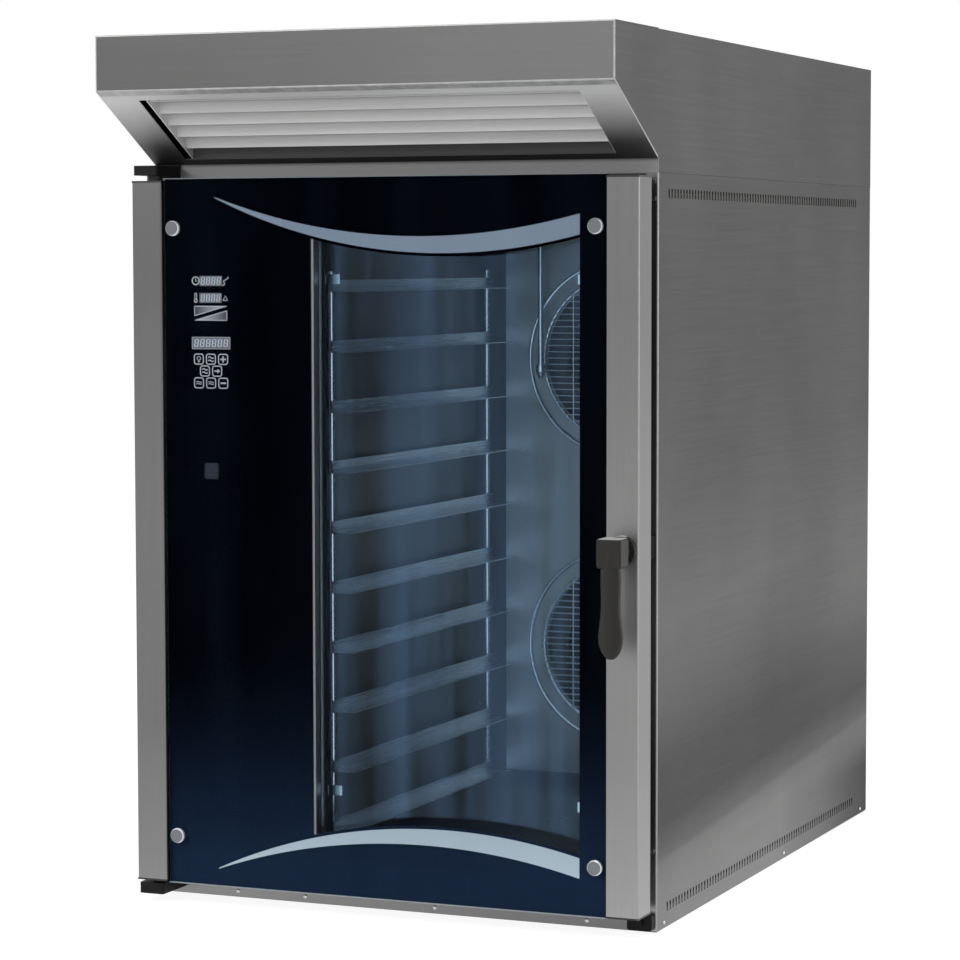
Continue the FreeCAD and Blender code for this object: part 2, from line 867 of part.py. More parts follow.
def tray_rack(name, wall, side):
    """Two upright rods carrying ten folded ledges, hung on the wall studs."""
    x = f"({wall} + {side} * rack_wall_gap)"
    low = "(chamber_floor + rack_rod_low)"
    length = f"{CEILING} - rack_rod_high - {low}"
    solids = [rod("z", (x, y, low), length, "rack_rod") for y in (f"{FRONT} + rack_front", RACK_REAR)]
    outer = f"({x} + {side} * rack_rod)"
    leg = f"({outer} + {side} * ledge_sheet)"
    tip = f"({outer} + {side} * ledge_width)"
    span = (
        f"({FRONT} + rack_front - ledge_overrun)",
        f"({RACK_REAR} + ledge_overrun)",
    )
    pitch = f"(({CEILING} - chamber_floor - rack_first - rack_headroom) / (rack_levels - 1))"
    for level in range(SIZES["rack_levels"]):
        z = f"(chamber_floor + rack_first + {level} * {pitch})"
        corners = [
            (outer, z),
            (tip, z),
            (tip, f"{z} + ledge_sheet"),
            (leg, f"{z} + ledge_sheet"),
            (leg, f"{z} + ledge_leg"),
            (outer, f"{z} + ledge_leg"),
        ]
        solids.append(extrude("y", span, corners))
    node(name, group(*solids))


def fan_baffle():
    """The folded sheet in front of the fans with two round inlets, on four posts."""
    left = f"({CHAMBER_LEFT} + baffle_side_gap)"
    right = f"({CHAMBER_RIGHT} - baffle_side_gap)"
    low = "(chamber_floor + baffle_end_gap)"
    high = f"({CEILING} - baffle_end_gap)"
    fold = f"({BAFFLE} + baffle_flange)"
    body = extrude(
        "z",
        (low, high),
        [
            (left, BAFFLE),
            (right, BAFFLE),
            (right, fold),
            (f"{right} - baffle_sheet", fold),
            (f"{right} - baffle_sheet", BAFFLE_BACK),
            (f"{left} + baffle_sheet", BAFFLE_BACK),
            (f"{left} + baffle_sheet", fold),
            (left, fold),
        ],
    )
    inlets = [
        rod("y", (CENTRE, f"{BAFFLE} - baffle_flange", height), "2 * baffle_flange", "inlet_radius")
        for height in FAN_HEIGHTS.values()
    ]
    posts = [
        rod("y", (x, BAFFLE_BACK, z), f"{WALL_FRONT} - {BAFFLE_BACK}", "baffle_post")
        for x in (f"{left} + baffle_post_inset", f"{right} - baffle_post_inset")
        for z in (f"{low} + baffle_post_inset", f"{high} - baffle_post_inset")
    ]
    node("fan_baffle", join(cut(body, *inlets), *posts))


def fan_guard(name, height):
    """Two rings on the baffle, crossed by level wires and two uprights."""
    ring_y = f"({BAFFLE} - guard_ring)"
    wire_y = f"({ring_y} - guard_ring - guard_wire)"
    upright_y = f"({wire_y} - 2 * guard_wire)"
    centre = (CENTRE, ring_y, height)
    solids = [ring("y", centre, radius, "guard_ring") for radius in ("inlet_radius + guard_rim", GUARD_INNER)]
    for i in range(SIZES["guard_wires"]):
        offset = f"({GUARD_INNER} * (2 * {i + 1} / (guard_wires + 1) - 1))"
        half = f"(sqrt({GUARD_INNER} ^ 2 - {offset} ^ 2) + guard_ring)"
        solids.append(rod("x", (f"{CENTRE} - {half}", wire_y, f"{height} + {offset}"), f"2 * {half}",
                          "guard_wire"))
    half = f"(sqrt({GUARD_INNER} ^ 2 - guard_upright ^ 2) - guard_ring)"
    for side in (-1, 1):
        start = (f"{CENTRE} + {side} * guard_upright", upright_y, f"{height} - {half}")
        solids.append(rod("z", start, f"2 * {half}", "guard_wire"))
    node(name, group(*solids))


def heating_element(name, height):
    """Two open tube rings round the fan wheel, each with straight ends to the rear wall."""
    node(name, group(element_loop(height, 0, 1), element_loop(height, 1, -1)))


def element_loop(height, row, side):
    """One tube: a leg from the rear wall, a bend into the open ring, and a bend into the second leg."""
    depth = number(f"{BAFFLE_BACK} + element_gap + {row} * element_pitch")
    centre = Vector(number(CENTRE), depth, number(height))
    radius = number(f"element_radius - {row} * element_step")
    bend = number("element_bend")
    rear = Vector(0, 1, 0)
    leg = number(WALL_FRONT) - centre.y
    across = Vector(side, 0, 0)
    half_gap = number("element_opening") / 2
    ends = []
    for turn in (half_gap, -half_gap):
        out = Rotation(rear, turn).multVec(across)
        at = centre + out * radius
        ahead = rear.cross(out) * (1 if turn > 0 else -1)
        ends.append((at, ahead))
    paths = []
    for at, ahead in ends:
        foot = at - ahead * bend + rear * leg
        knee = at - ahead * bend + rear * bend
        middle = at + rear * bend - (rear + ahead).normalize() * bend
        paths.append((foot, knee, middle, at))
    start, finish = paths
    far = centre - across * radius
    edges = [
        Part.LineSegment(start[0], start[1]).toShape(),
        Part.Arc(start[1], start[2], start[3]).toShape(),
        Part.Arc(start[3], far, finish[3]).toShape(),
        Part.Arc(finish[3], finish[2], finish[1]).toShape(),
        Part.LineSegment(finish[1], finish[0]).toShape(),
    ]
    section = Part.Wire(Part.makeCircle(number("element_tube"), start[0], -rear))
    feature = doc.addObject("Part::Feature", "element")
    feature.Shape = Part.Wire(edges).makePipeShell([section], True, False)
    return feature


def motor_leg_places(height):
    reach = "(motor_plate / 2 - 2 * motor_leg)"
    return [
        (f"{CENTRE} + {across} * {reach}", f"{height} + {up} * {reach}")
        for across in (-1, 1)
        for up in (-1, 1)
    ]


def fan_motor(name, height):
    """A round motor on a square plate, with four legs to the rear wall and the shaft's seal there."""
    half = "(motor_plate / 2)"
    plate_back = f"({MOTOR_FACE} + motor_plate_sheet)"
    plate = block(
        (f"({CENTRE} - {half})", f"({CENTRE} + {half})"),
        (MOTOR_FACE, plate_back),
        (f"({height} - {half})", f"({height} + {half})"),
    )
    can = rod("y", (CENTRE, plate_back, height), "motor_length", "motor_radius")
    bell = cone("y", (CENTRE, f"{plate_back} + motor_length", height), "motor_bell_length",
                "motor_radius", "motor_bell")
    legs = [rod("y", (x, WALL_BACK, z), f"{MOTOR_FACE} - {WALL_BACK}", "motor_leg")
            for x, z in motor_leg_places(height)]
    bore = rod("y", (CENTRE, WALL_BACK, height), f"{MOTOR_FACE} - {WALL_BACK} + shaft_engage",
               "shaft_radius + running_gap")
    seal = tube("y", (CENTRE, f"{WALL_FRONT} - seal_length / 2", height), "seal_length",
                "(shaft_radius + seal_gap + seal_wall)", "seal_wall")
    node(name, group(cut(join(plate, can, bell, *legs), bore), seal))


def fan_wheel(name, height):
    """A centrifugal wheel: back disc, leaning blades, front ring, hub and drive shaft."""
    body = new_body()
    back = f"({BAFFLE_BACK} + wheel_gap + wheel_depth)"
    pad(body, "y", ("-wheel_sheet", "0"), ("0", "0", "wheel_radius"))
    blade = [
        ("wheel_eye", "0"),
        ("(wheel_radius - wheel_sheet)", "blade_lean"),
        ("(wheel_radius - wheel_sheet)", "(blade_lean + wheel_sheet)"),
        ("wheel_eye", "wheel_sheet"),
    ]
    first = pad(body, "y", ("-(wheel_depth - wheel_sheet)", "-wheel_sheet"), blade)
    pattern = body.newObject("PartDesign::PolarPattern", "blades")
    pattern.Originals = [first]
    pattern.Axis = (origin_feature(body, "Y_Axis"), [""])
    pattern.Angle = 360
    bind(pattern, Occurrences="wheel_blades")
    body.Tip = pattern
    rim = ("-wheel_depth", "-(wheel_depth - wheel_sheet)")
    pad(body, "y", rim, ("0", "0", "wheel_radius"), ("0", "0", "wheel_eye"))
    pad(body, "y", ("-hub_length", "-wheel_sheet"), ("0", "0", "hub_radius"))
    pad(body, "y", ("0", f"{MOTOR_FACE} + shaft_engage - running_gap - {back}"), ("0", "0", "shaft_radius"))
    node(name, place(body, CENTRE, back, height))


# Steam, water, drain, lamp and probe


def steam_pipe():
    """The water pipe from the valve over the chamber and down through its ceiling, with its nozzle."""
    run = "(body_height - panel_sheet - steam_run_drop)"
    valve_top = "(water_height + valve_height / 2)"
    valve_y = f"({REAR} - water_inset)"
    route = [
        (WATER_X, valve_y, valve_top),
        (WATER_X, valve_y, run),
        (WATER_X, STEAM_Y, run),
        (STEAM_X, STEAM_Y, run),
        (STEAM_X, STEAM_Y, STEAM_END),
    ]
    collar = rod("z", (STEAM_X, STEAM_Y, f"{STEAM_END} - nozzle_length"), "nozzle_length", "nozzle_radius")
    tip = cone("z", (STEAM_X, STEAM_Y, f"{STEAM_END} - 2 * nozzle_length"), "nozzle_length", "nozzle_tip",
               "nozzle_radius")
    node("steam_pipe", group(bent_pipe(route, "steam_bend", "steam_radius"), join(collar, tip)))


def water_valve():
    """The inlet valve behind the rear panel, with its coil, the lock nut and the threaded stub outside."""
    y = f"({REAR} - water_inset)"
    half = "(valve_width / 2)"
    body = block(
        (f"({WATER_X} - {half})", f"({WATER_X} + {half})"),
        (f"({y} - {half})", f"({y} + {half})"),
        ("(water_height - valve_height / 2)", "(water_height + valve_height / 2)"),
    )
    stub = rod("y", (WATER_X, y, "water_height"), f"{REAR} + inlet_reach - {y}", "inlet_pipe")
    coil_low = "water_height - valve_height / 2 - coil_height"
    coil = rod("z", (WATER_X, y, coil_low), "coil_height", "coil_radius")
    collar = rod("y", (WATER_X, f"{y} + {half}", "water_height"), f"{REAR} - panel_sheet - {y} - {half}",
                 "inlet_pipe + panel_lift")
    nut = rod("y", (WATER_X, REAR, "water_height"), "inlet_nut_height", "inlet_nut")
    node("water_valve", join(body, stub, coil, collar, nut))


def drain_pipe():
    """The drain from the chamber floor, under the insulation and out at the back."""
    route = [
        (CENTRE, DRAIN_Y, "chamber_floor"),
        (CENTRE, DRAIN_Y, "drain_height"),
        (CENTRE, f"{REAR} + drain_reach", "drain_height"),
    ]
    outer = bent_pipe(route, "drain_bend", "drain_radius")
    spigot = rod("y", (CENTRE, REAR, "drain_height"), "drain_reach", "drain_spigot")
    hollow = bent_pipe(route, "drain_bend", "drain_radius - drain_wall")
    node("drain_pipe", cut(join(outer, spigot), hollow))


def chamber_lamp():
    """A round lens in the right wall and the lamp cup behind it."""
    at = LAMP
    inner = f"({CHAMBER_RIGHT} - lamp_lens)"
    back = f"({CHAMBER_RIGHT} + chamber_sheet)"
    flange = rod("x", (inner, *at), "lamp_lens", "lamp_flange")
    plug = rod("x", (CHAMBER_RIGHT, *at), "chamber_sheet", "lamp_radius")
    node("lamp_lens", join(flange, plug))
    cup = rod("x", (back, *at), "lamp_cup", "lamp_flange")
    room = rod("x", (back, *at), "lamp_cup - lamp_lens", "lamp_radius")
    node("lamp_cup", cut(cup, room))


def temperature_probe():
    """A thin rod hanging from the ceiling in a clamping nut."""
    at = PROBE
    sensor = rod("z", (*at, f"{CEILING} - probe_length"), "probe_length + insulation_depth", "probe_radius")
    nut = rod("z", (*at, f"{CEILING} - probe_nut_height"), "probe_nut_height", "probe_nut")
    node("temperature_probe", join(sensor, nut))


def vent_chimney():
    """The steam outlet from the ceiling into the hood, with its damper and actuator."""
    x, y = CENTRE, CHIMNEY_Y
    axis = "(body_height + damper_rise)"
    shaft_start = f"{x} - chimney_radius - damper_shaft"
    shaft_length = "(2 * chimney_radius + damper_shaft + damper_reach)"
    length = f"body_height + chimney_rise - {CEILING}"
    wall = tube("z", (x, y, CEILING), length, "chimney_radius", "chimney_sheet")
    pivot = rod("x", (shaft_start, y, axis), shaft_length, "damper_shaft + running_gap")
    node("vent_chimney", cut(wall, pivot))
    disc_radius = "chimney_radius - chimney_sheet - damper_gap"
    disc = rod("z", (x, y, f"{axis} - damper_sheet / 2"), "damper_sheet", disc_radius)
    node("damper_flap", join(disc, rod("x", (shaft_start, y, axis), shaft_length, "damper_shaft")))
    start = f"({x} + chimney_radius + actuator_gap)"
    box = block(
        (start, f"({start} + actuator_width)"),
        (f"({y} - actuator_depth / 2)", f"({y} + actuator_depth / 2)"),
        ("body_height", "(body_height + actuator_height)"),
    )
    socket_depth = "damper_reach - actuator_gap + running_gap"
    socket = rod("x", (start, y, axis), socket_depth, "damper_shaft + running_gap")
    node("damper_actuator", cut(box, socket))


# Electrics


def electrics():
    """A folded plate standing on the base with its switching devices, and the cable gland."""
    near = f"({FRONT} + plate_front)"
    span = (near, f"({near} + plate_length)")
    corners = [
        (PLATE_X, "base_sheet"),
        (f"{PLATE_X} + plate_foot", "base_sheet"),
        (f"{PLATE_X} + plate_foot", "base_sheet + plate_sheet"),
        (f"{PLATE_X} + plate_sheet", "base_sheet + plate_sheet"),
        (f"{PLATE_X} + plate_sheet", "plate_height"),
        (PLATE_X, "plate_height"),
    ]
    node("electrics_plate", extrude("y", span, corners))
    devices = []
    for i in range(SIZES["device_count"]):
        start = f"({near} + device_width + {i} * device_pitch)"
        case = block(
            (f"({PLATE_X} - device_depth)", PLATE_X),
            (start, f"({start} + device_width)"),
            ("device_low", "(device_low + device_height)"),
        )
        step = block(
            (f"({PLATE_X} - device_depth)", f"({PLATE_X} - device_depth / 2)"),
            (start, f"({start} + device_width)"),
            ("(device_low + device_height * 2 / 3)", "(device_low + device_height)"),
        )
        devices.append(cut(case, step))
    node("contactors", group(*devices))
    at = WATER_X
    inside = f"({REAR} - panel_sheet - gland_nut_length)"
    nut = rod("y", (at, inside, "gland_height"), "gland_nut_length", "gland_nut")
    neck = rod("y", (at, inside, "gland_height"), f"{REAR} - {inside}", "gland_radius")
    cap = rod("y", (at, REAR, "gland_height"), "gland_reach", "gland_nut")
    bore = rod("y", (at, inside, "gland_height"), f"{REAR} + gland_reach - {inside}", "gland_bore")
    node("cable_gland", cut(join(nut, neck, cap), bore))


# Hood


def slope(y):
    """The height of the hood's slanted underside at a depth."""
    rise = "(hood_height - hood_front_height - hood_rail)"
    return f"(body_height + hood_rail + {rise} * ({FRONT} - {y}) / hood_overhang)"


def hood_cheek(name, side):
    outline_points = [
        (REAR, "body_height"),
        (FRONT, "body_height"),
        (FRONT, "body_height + hood_rail"),
        (HOOD_FRONT, f"{HOOD_TOP} - hood_front_height"),
        (HOOD_FRONT, CHEEK_TOP),
        (REAR, CHEEK_TOP),
    ]
    span = (INSIDE, SIDE) if side > 0 else (f"-{SIDE}", f"-{INSIDE}")
    body = extrude("x", span, outline_points)
    node(name, rounded_rim(body, "x", f"{side} * {SIDE}", "cheek_edge"))


def hood_front():
    """The folded canopy: front face, bottom return, and a top lip lapping over cheeks and rear cover."""
    near = f"({HOOD_FRONT} + hood_return)"
    inside = f"({HOOD_FRONT} + panel_sheet)"
    body = extrude(
        "x",
        (f"-{SIDE}", SIDE),
        [
            (FRONT, HOOD_TOP),
            (HOOD_FRONT, HOOD_TOP),
            (HOOD_FRONT, slope(HOOD_FRONT)),
            (near, slope(near)),
            (near, f"{slope(near)} + slant_sheet"),
            (inside, f"{slope(inside)} + slant_sheet"),
            (inside, CHEEK_TOP),
            (FRONT, CHEEK_TOP),
        ],
    )
    rounded(body, "x", "panel_bend", (HOOD_FRONT, HOOD_TOP), (HOOD_FRONT, slope(HOOD_FRONT)))
    notches = [
        block(span, (HOOD_FRONT, FRONT), ("body_height", CHEEK_TOP))
        for span in ((f"-{SIDE}", f"-{INSIDE}"), (INSIDE, SIDE))
    ]
    node("hood_front", cut(body, *notches))


def hood_underside():
    """The slanted frame with its wide opening and rear upstand, folded down into the bottom rail."""
    near = f"({HOOD_FRONT} + hood_return)"
    back = f"({FRONT} + panel_sheet)"
    body = extrude(
        "x",
        (f"-{INSIDE}", INSIDE),
        [
            (near, slope(near)),
            (FRONT, slope(FRONT)),
            (FRONT, "body_height"),
            (f"{FRONT} + hood_rail_depth", "body_height"),
            (f"{FRONT} + hood_rail_depth", "body_height + panel_sheet"),
            (back, "body_height + panel_sheet"),
            (back, f"{slope(back)} + slant_sheet"),
            (near, f"{slope(near)} + slant_sheet"),
        ],
    )
    opening = block(
        (f"-({SIDE} - hood_border)", f"({SIDE} - hood_border)"),
        (f"({HOOD_FRONT} + hood_front_border)", f"({FRONT} - hood_rear_border)"),
        ("body_height", HOOD_TOP),
    )
    rear = f"({FRONT} - hood_rear_border)"
    upstand = block(
        (f"-({SIDE} - hood_border - louvre_gap_left)", f"({SIDE} - hood_border - louvre_gap_right)"),
        (rear, f"({rear} + panel_sheet)"),
        (slope(rear), f"({slope(rear)} + hood_upstand)"),
    )
    node("hood_underside", join(cut(body, opening), upstand))


def hood_louvres():
    """Level folded slats stepping up the opening, held between two side rails."""
    left = f"-({SIDE} - hood_border - louvre_gap_left)"
    right = f"({SIDE} - hood_border - louvre_gap_right)"
    solids = []
    for i in range(SIZES["louvre_count"]):
        y = f"({HOOD_FRONT} + louvre_first + {i} * louvre_pitch)"
        z = f"({slope(y)} + louvre_inset)"
        corners = [
            (y, z),
            (f"{y} + louvre_lip", z),
            (f"{y} + louvre_lip", f"{z} + panel_sheet"),
            (f"{y} + panel_sheet", f"{z} + panel_sheet"),
            (f"{y} + panel_sheet", f"{z} + louvre_height"),
            (y, f"{z} + louvre_height"),
        ]
        solids.append(extrude("x", (left, right), corners))
    near = f"({HOOD_FRONT} + hood_return + panel_sheet)"
    far = f"({FRONT} - panel_sheet)"
    band = [
        (near, f"{slope(near)} + slant_sheet"),
        (far, f"{slope(far)} + slant_sheet"),
        (far, f"{slope(far)} + louvre_rail"),
        (near, f"{slope(near)} + louvre_rail"),
    ]
    solids.append(extrude("x", (right, f"({right} + louvre_rail_sheet)"), band))
    solids.append(extrude("x", (f"({left} - louvre_rail_sheet)", left), band))
    node("hood_louvres", group(*solids))


def hood_top():
    """The rear cover, tucked under the canopy's lip and folded down at the back, with the flue hole."""
    near = f"({FRONT} - hood_lap)"
    body = extrude(
        "x",
        (f"-{INSIDE}", INSIDE),
        [
            (near, CHEEK_TOP),
            (REAR, CHEEK_TOP),
            (REAR, "body_height"),
            (f"{REAR} - panel_sheet", "body_height"),
            (f"{REAR} - panel_sheet", f"{CHEEK_TOP} - panel_sheet"),
            (near, f"{CHEEK_TOP} - panel_sheet"),
        ],
    )
    rounded(body, "x", "panel_bend", (REAR, CHEEK_TOP))
    hole = rod("z", ("0", FLUE_Y, "body_height + hood_rail"), "hood_height", "flue_radius + fit_gap")
    node("hood_top", cut(body, hole))


def extractor():
    """The flue collar with the extraction fan below it, driven by a motor on the body's top."""
    top = CHEEK_TOP
    at = ("0", FLUE_Y)
    pipe = rod("z", (*at, f"{top} - flue_drop"), "flue_drop + flue_rise", "flue_radius")
    flange = rod("z", (*at, top), "flue_sheet", "flue_flange")
    bore = rod("z", (*at, f"{top} - flue_drop"), "flue_drop + flue_rise", "flue_radius - flue_sheet")
    node("flue_collar", cut(join(pipe, flange), bore))
    foot = rod("z", (*at, "body_height"), "extractor_foot_sheet", "extractor_foot")
    motor = rod("z", (*at, "body_height"), "extractor_motor_height", "extractor_motor")
    head = "(body_height + extractor_motor_height)"
    socket = rod("z", (*at, f"{head} - extractor_motor / 2 - running_gap"), "extractor_motor",
                 "extractor_shaft + running_gap")
    node("extractor_motor", cut(join(foot, motor), socket))
    body = new_body()
    low = f"({top} - extractor_drop - extractor_depth)"
    pad(body, "z", ("0", "extractor_depth"), ("0", "0", "extractor_hub"))
    rise = "(extractor_depth / 2)"
    run = "(extractor_chord / 2)"
    tall = "(extractor_depth / 3)"
    blade = [
        (f"-{run}", f"{rise} - {tall}"),
        (f"(extractor_blade_sheet - {run})", f"{rise} - {tall}"),
        (run, f"{rise} + {tall}"),
        (f"({run} - extractor_blade_sheet)", f"{rise} + {tall}"),
    ]
    tip = "flue_radius - flue_sheet - extractor_tip_gap"
    first = pad(body, "x", ("extractor_hub - extractor_blade_sheet", tip), blade)
    pattern = body.newObject("PartDesign::PolarPattern", "blades")
    pattern.Originals = [first]
    pattern.Axis = (origin_feature(body, "Z_Axis"), [""])
    pattern.Angle = 360
    bind(pattern, Occurrences="extractor_blades")
    body.Tip = pattern
    pad(body, "z", (f"{head} - extractor_motor / 2 - {low}", "0"), ("0", "0", "extractor_shaft"))
    node("extractor_wheel", place(body, *at, low))


# Door


def door_stile(name, side):
    """A folded stile: front face with a return lip on the glass, outer side and rear lip."""
    outer = f"{side} * {DOOR_SIDE}"
    web = f"{side} * ({DOOR_SIDE} - stile_sheet)"
    edge = f"{side} * {STILE_EDGE}"
    lip = f"{side} * ({STILE_EDGE} + stile_sheet)"
    rear = f"{side} * ({DOOR_SIDE} - stile_rear_lip)"
    glass = f"({GLASS_FRONT} - fit_gap)"
    body = extrude(
        "z",
        ("(door_bottom + cap_sheet)", f"({DOOR_TOP} - cap_sheet)"),
        [
            (edge, DOOR_FRONT),
            (outer, DOOR_FRONT),
            (outer, DOOR_BACK),
            (rear, DOOR_BACK),
            (rear, f"{DOOR_BACK} - stile_sheet"),
            (web, f"{DOOR_BACK} - stile_sheet"),
            (web, f"{DOOR_FRONT} + stile_sheet"),
            (lip, f"{DOOR_FRONT} + stile_sheet"),
            (lip, glass),
            (edge, glass),
        ],
    )
    rounded(body, "z", "stile_bend", (outer, DOOR_FRONT), (edge, DOOR_FRONT), (outer, DOOR_BACK))
    if side < 0:
        node(name, body)
        return
    hole = rod("y", (HANDLE_X, f"{DOOR_FRONT} - rosette_depth", HANDLE_Z), "2 * door_depth",
               "spindle_radius + spindle_play")
    node(name, cut(body, hole))


def stile_end_caps():
    """Plastic caps closing the stiles' ends; those at the hinge side are bored for the bushes."""
    caps = []
    for side in (-1, 1):
        for end in (-1, 1):
            face = "door_bottom" if end < 0 else f"({DOOR_TOP} - cap_sheet)"
            plug_low = "(door_bottom + cap_sheet)" if end < 0 else f"({DOOR_TOP} - cap_sheet - cap_plug)"
            x = [f"{side} * {STILE_EDGE}", f"{side} * {DOOR_SIDE}"]
            inner = "(stile_sheet + fit_gap)"
            plug_x = [f"{side} * ({GLASS_SIDE} + fit_gap)", f"{side} * ({DOOR_SIDE} - {inner})"]
            if side < 0:
                x.reverse()
                plug_x.reverse()
            plate = block(
                (f"({x[0]})", f"({x[1]})"),
                (DOOR_FRONT, DOOR_BACK),
                (face, f"({face} + cap_sheet)"),
            )
            plug = block(
                (f"({plug_x[0]})", f"({plug_x[1]})"),
                (f"({DOOR_FRONT} + {inner})", f"({DOOR_BACK} - {inner})"),
                (plug_low, f"({plug_low} + cap_plug)"),
            )
            cap = join(plate, plug)
            if side < 0:
                bore = rod("z", (PIVOT_X, PIVOT_Y, f"{face} - cap_plug"), "3 * cap_plug",
                           "hinge_pin + running_gap + bush_wall + fit_gap")
                cap = cut(cap, bore)
            caps.append(cap)
    node("stile_end_caps", group(*caps))


def glass_cap_places():
    heights = ("(door_bottom + glass_cap_inset)", f"({DOOR_TOP} - glass_cap_inset)")
    return [(f"{side} * ({STILE_EDGE} - glass_cap_side)", z) for side in (-1, 1) for z in heights]


def outer_glass():
    """The pane, standing past the stiles at both ends and notched round their end caps."""
    low = "(door_bottom + cap_sheet)"
    high = f"({DOOR_TOP} - cap_sheet)"
    tongue = f"({STILE_EDGE} - fit_gap)"
    half = [
        (tongue, "(door_bottom - glass_below)"),
        (tongue, low),
        (GLASS_SIDE, low),
        (GLASS_SIDE, high),
        (tongue, high),
        (tongue, f"({DOOR_TOP} + glass_above)"),
    ]
    body = extrude(
        "y",
        (GLASS_FRONT, GLASS_BACK),
        half + [(f"-{x}", z) for x, z in reversed(half)],
        *((x, z, "glass_cap_stud + fit_gap") for x, z in glass_cap_places()),
    )
    node("outer_glass", body)


def glass_caps():
    """Four turned caps on the glass, each with a stud through it to the frame."""
    caps = []
    for x, z in glass_cap_places():
        front = f"({GLASS_FRONT} - glass_cap_height)"
        body = extrude("y", (front, GLASS_FRONT), ("0", "0", "glass_cap_radius"))
        doc.recompute()
        disc = body.Tip
        face = number(front)
        rim = body.newObject("PartDesign::Chamfer", "rim")
        rim.Base = (disc, [
            f"Edge{i}"
            for i, edge in enumerate(disc.Shape.Edges, start=1)
            if abs(edge.CenterOfMass.y - face) < 0.01
        ])
        bind(rim, Size="glass_cap_edge")
        body.Tip = rim
        pad(body, "y", (GLASS_FRONT, GLASS_BACK), ("0", "0", "glass_cap_stud"))
        caps.append(place(body, x, "0", z))
    node("glass_caps", group(*caps))


WINDOW = (f"(-{STILE_EDGE} + window_left)", f"({STILE_EDGE} - window_right)")
WINDOW_TALL = ("(door_bottom + window_low)", f"({DOOR_TOP} - window_high)")


def grown(span, by):
    return (f"({span[0]} - {by})", f"({span[1]} + {by})")


CONTROL = (f"(-{DOOR_SIDE} + control_side)", f"(-{DOOR_SIDE} + control_side + control_width)")
CONTROL_TALL = (f"({DOOR_TOP} - control_drop - control_height)", f"({DOOR_TOP} - control_drop)")


def door_front_frame():
    """The folded mask behind the glass, with a flange round the window and a hole for the controls."""
    body = extrude(
        "y",
        (GLASS_BACK, f"({GLASS_BACK} + frame_sheet)"),
        rectangle((f"-{GLASS_SIDE}", GLASS_SIDE), ("(door_bottom + cap_sheet)", f"({DOOR_TOP} - cap_sheet)")),
        rectangle(WINDOW, WINDOW_TALL),
        rectangle(grown(CONTROL, "fit_gap"), grown(CONTROL_TALL, "fit_gap")),
    )
    pad(
        body,
        "y",
        (f"({GLASS_BACK} + frame_sheet)", f"({GLASS_BACK} + frame_flange)"),
        rectangle(grown(WINDOW, "frame_sheet"), grown(WINDOW_TALL, "frame_sheet")),
        rectangle(WINDOW, WINDOW_TALL),
    )
    node("door_front_frame", body)


def door_back_pan():
    """The rear sheet between the stiles with its window hole and the ridge that meets the seal."""
    edge = f"({DOOR_SIDE} - stile_rear_lip)"
    body = extrude(
        "y",
        (f"({DOOR_BACK} - pan_sheet)", DOOR_BACK),
        rectangle((f"-{edge}", edge), ("(door_bottom + cap_sheet)", f"({DOOR_TOP} - cap_sheet)")),
        rectangle(WINDOW, WINDOW_TALL),
    )
    ridge = (DOOR_BACK, f"({DOOR_BACK} + pan_ridge)")
    pad(body, "y", ridge, seal_loop("(gasket_offset + gasket_width)"), seal_loop("gasket_offset"))
    node("door_back_pan", body)


def inner_glass():
    y = f"({DOOR_BACK} - pan_sheet)"
    pane = extrude(
        "y",
        (f"({y} - inner_glass_sheet)", y),
        rectangle(grown(WINDOW, "inner_glass_lap"), grown(WINDOW_TALL, "inner_glass_lap")),
    )
    node("inner_glass", pane)
    clips = []
    for x in (f"({WINDOW[0]} - inner_glass_lap)", f"({WINDOW[1]} + inner_glass_lap - clip_width)"):
        for z in (f"({WINDOW_TALL[0]} + clip_inset)", f"({WINDOW_TALL[1]} - clip_inset - clip_height)"):
            clips.append(block(
                (x, f"({x} + clip_width)"),
                (DOOR_BACK, f"({DOOR_BACK} + clip_sheet)"),
                (z, f"({z} + clip_height)"),
            ))
    node("glass_clips", group(*clips))


def control_module():
    """The display board against the glass in an open-fronted housing."""
    board = block(CONTROL, (GLASS_BACK, f"({GLASS_BACK} + board_sheet)"), CONTROL_TALL)
    front = f"({GLASS_BACK} + board_sheet)"
    case = block(CONTROL, (front, f"({front} + control_depth)"), CONTROL_TALL)
    room = block(
        grown(CONTROL, "-control_wall"),
        (front, f"({front} + control_depth - control_wall)"),
        grown(CONTROL_TALL, "-control_wall"),
    )
    node("control_module", group(board, cut(case, room)))


# Hinges, brackets and screws

HINGE_X = (f"(-{DOOR_SIDE} + hinge_block_lap)", f"(-{DOOR_SIDE} + hinge_block_lap + hinge_block_width)")
LOW_BLOCK = ("(door_bottom - hinge_gap_low - hinge_block_height_low)", "(door_bottom - hinge_gap_low)")
HIGH_BLOCK = (f"({DOOR_TOP} + hinge_gap_high)", f"({DOOR_TOP} + hinge_gap_high + hinge_block_height_high)")
LOW_PIN = (LOW_BLOCK[0], "(door_bottom + hinge_pin_engage)")
HIGH_PIN = (f"({DOOR_TOP} - hinge_pin_engage)", HIGH_BLOCK[1])
LOW_FOOT = (LOW_BLOCK[0], "base_height")
HIGH_FOOT = ("body_height", "(body_height + hood_rail)")


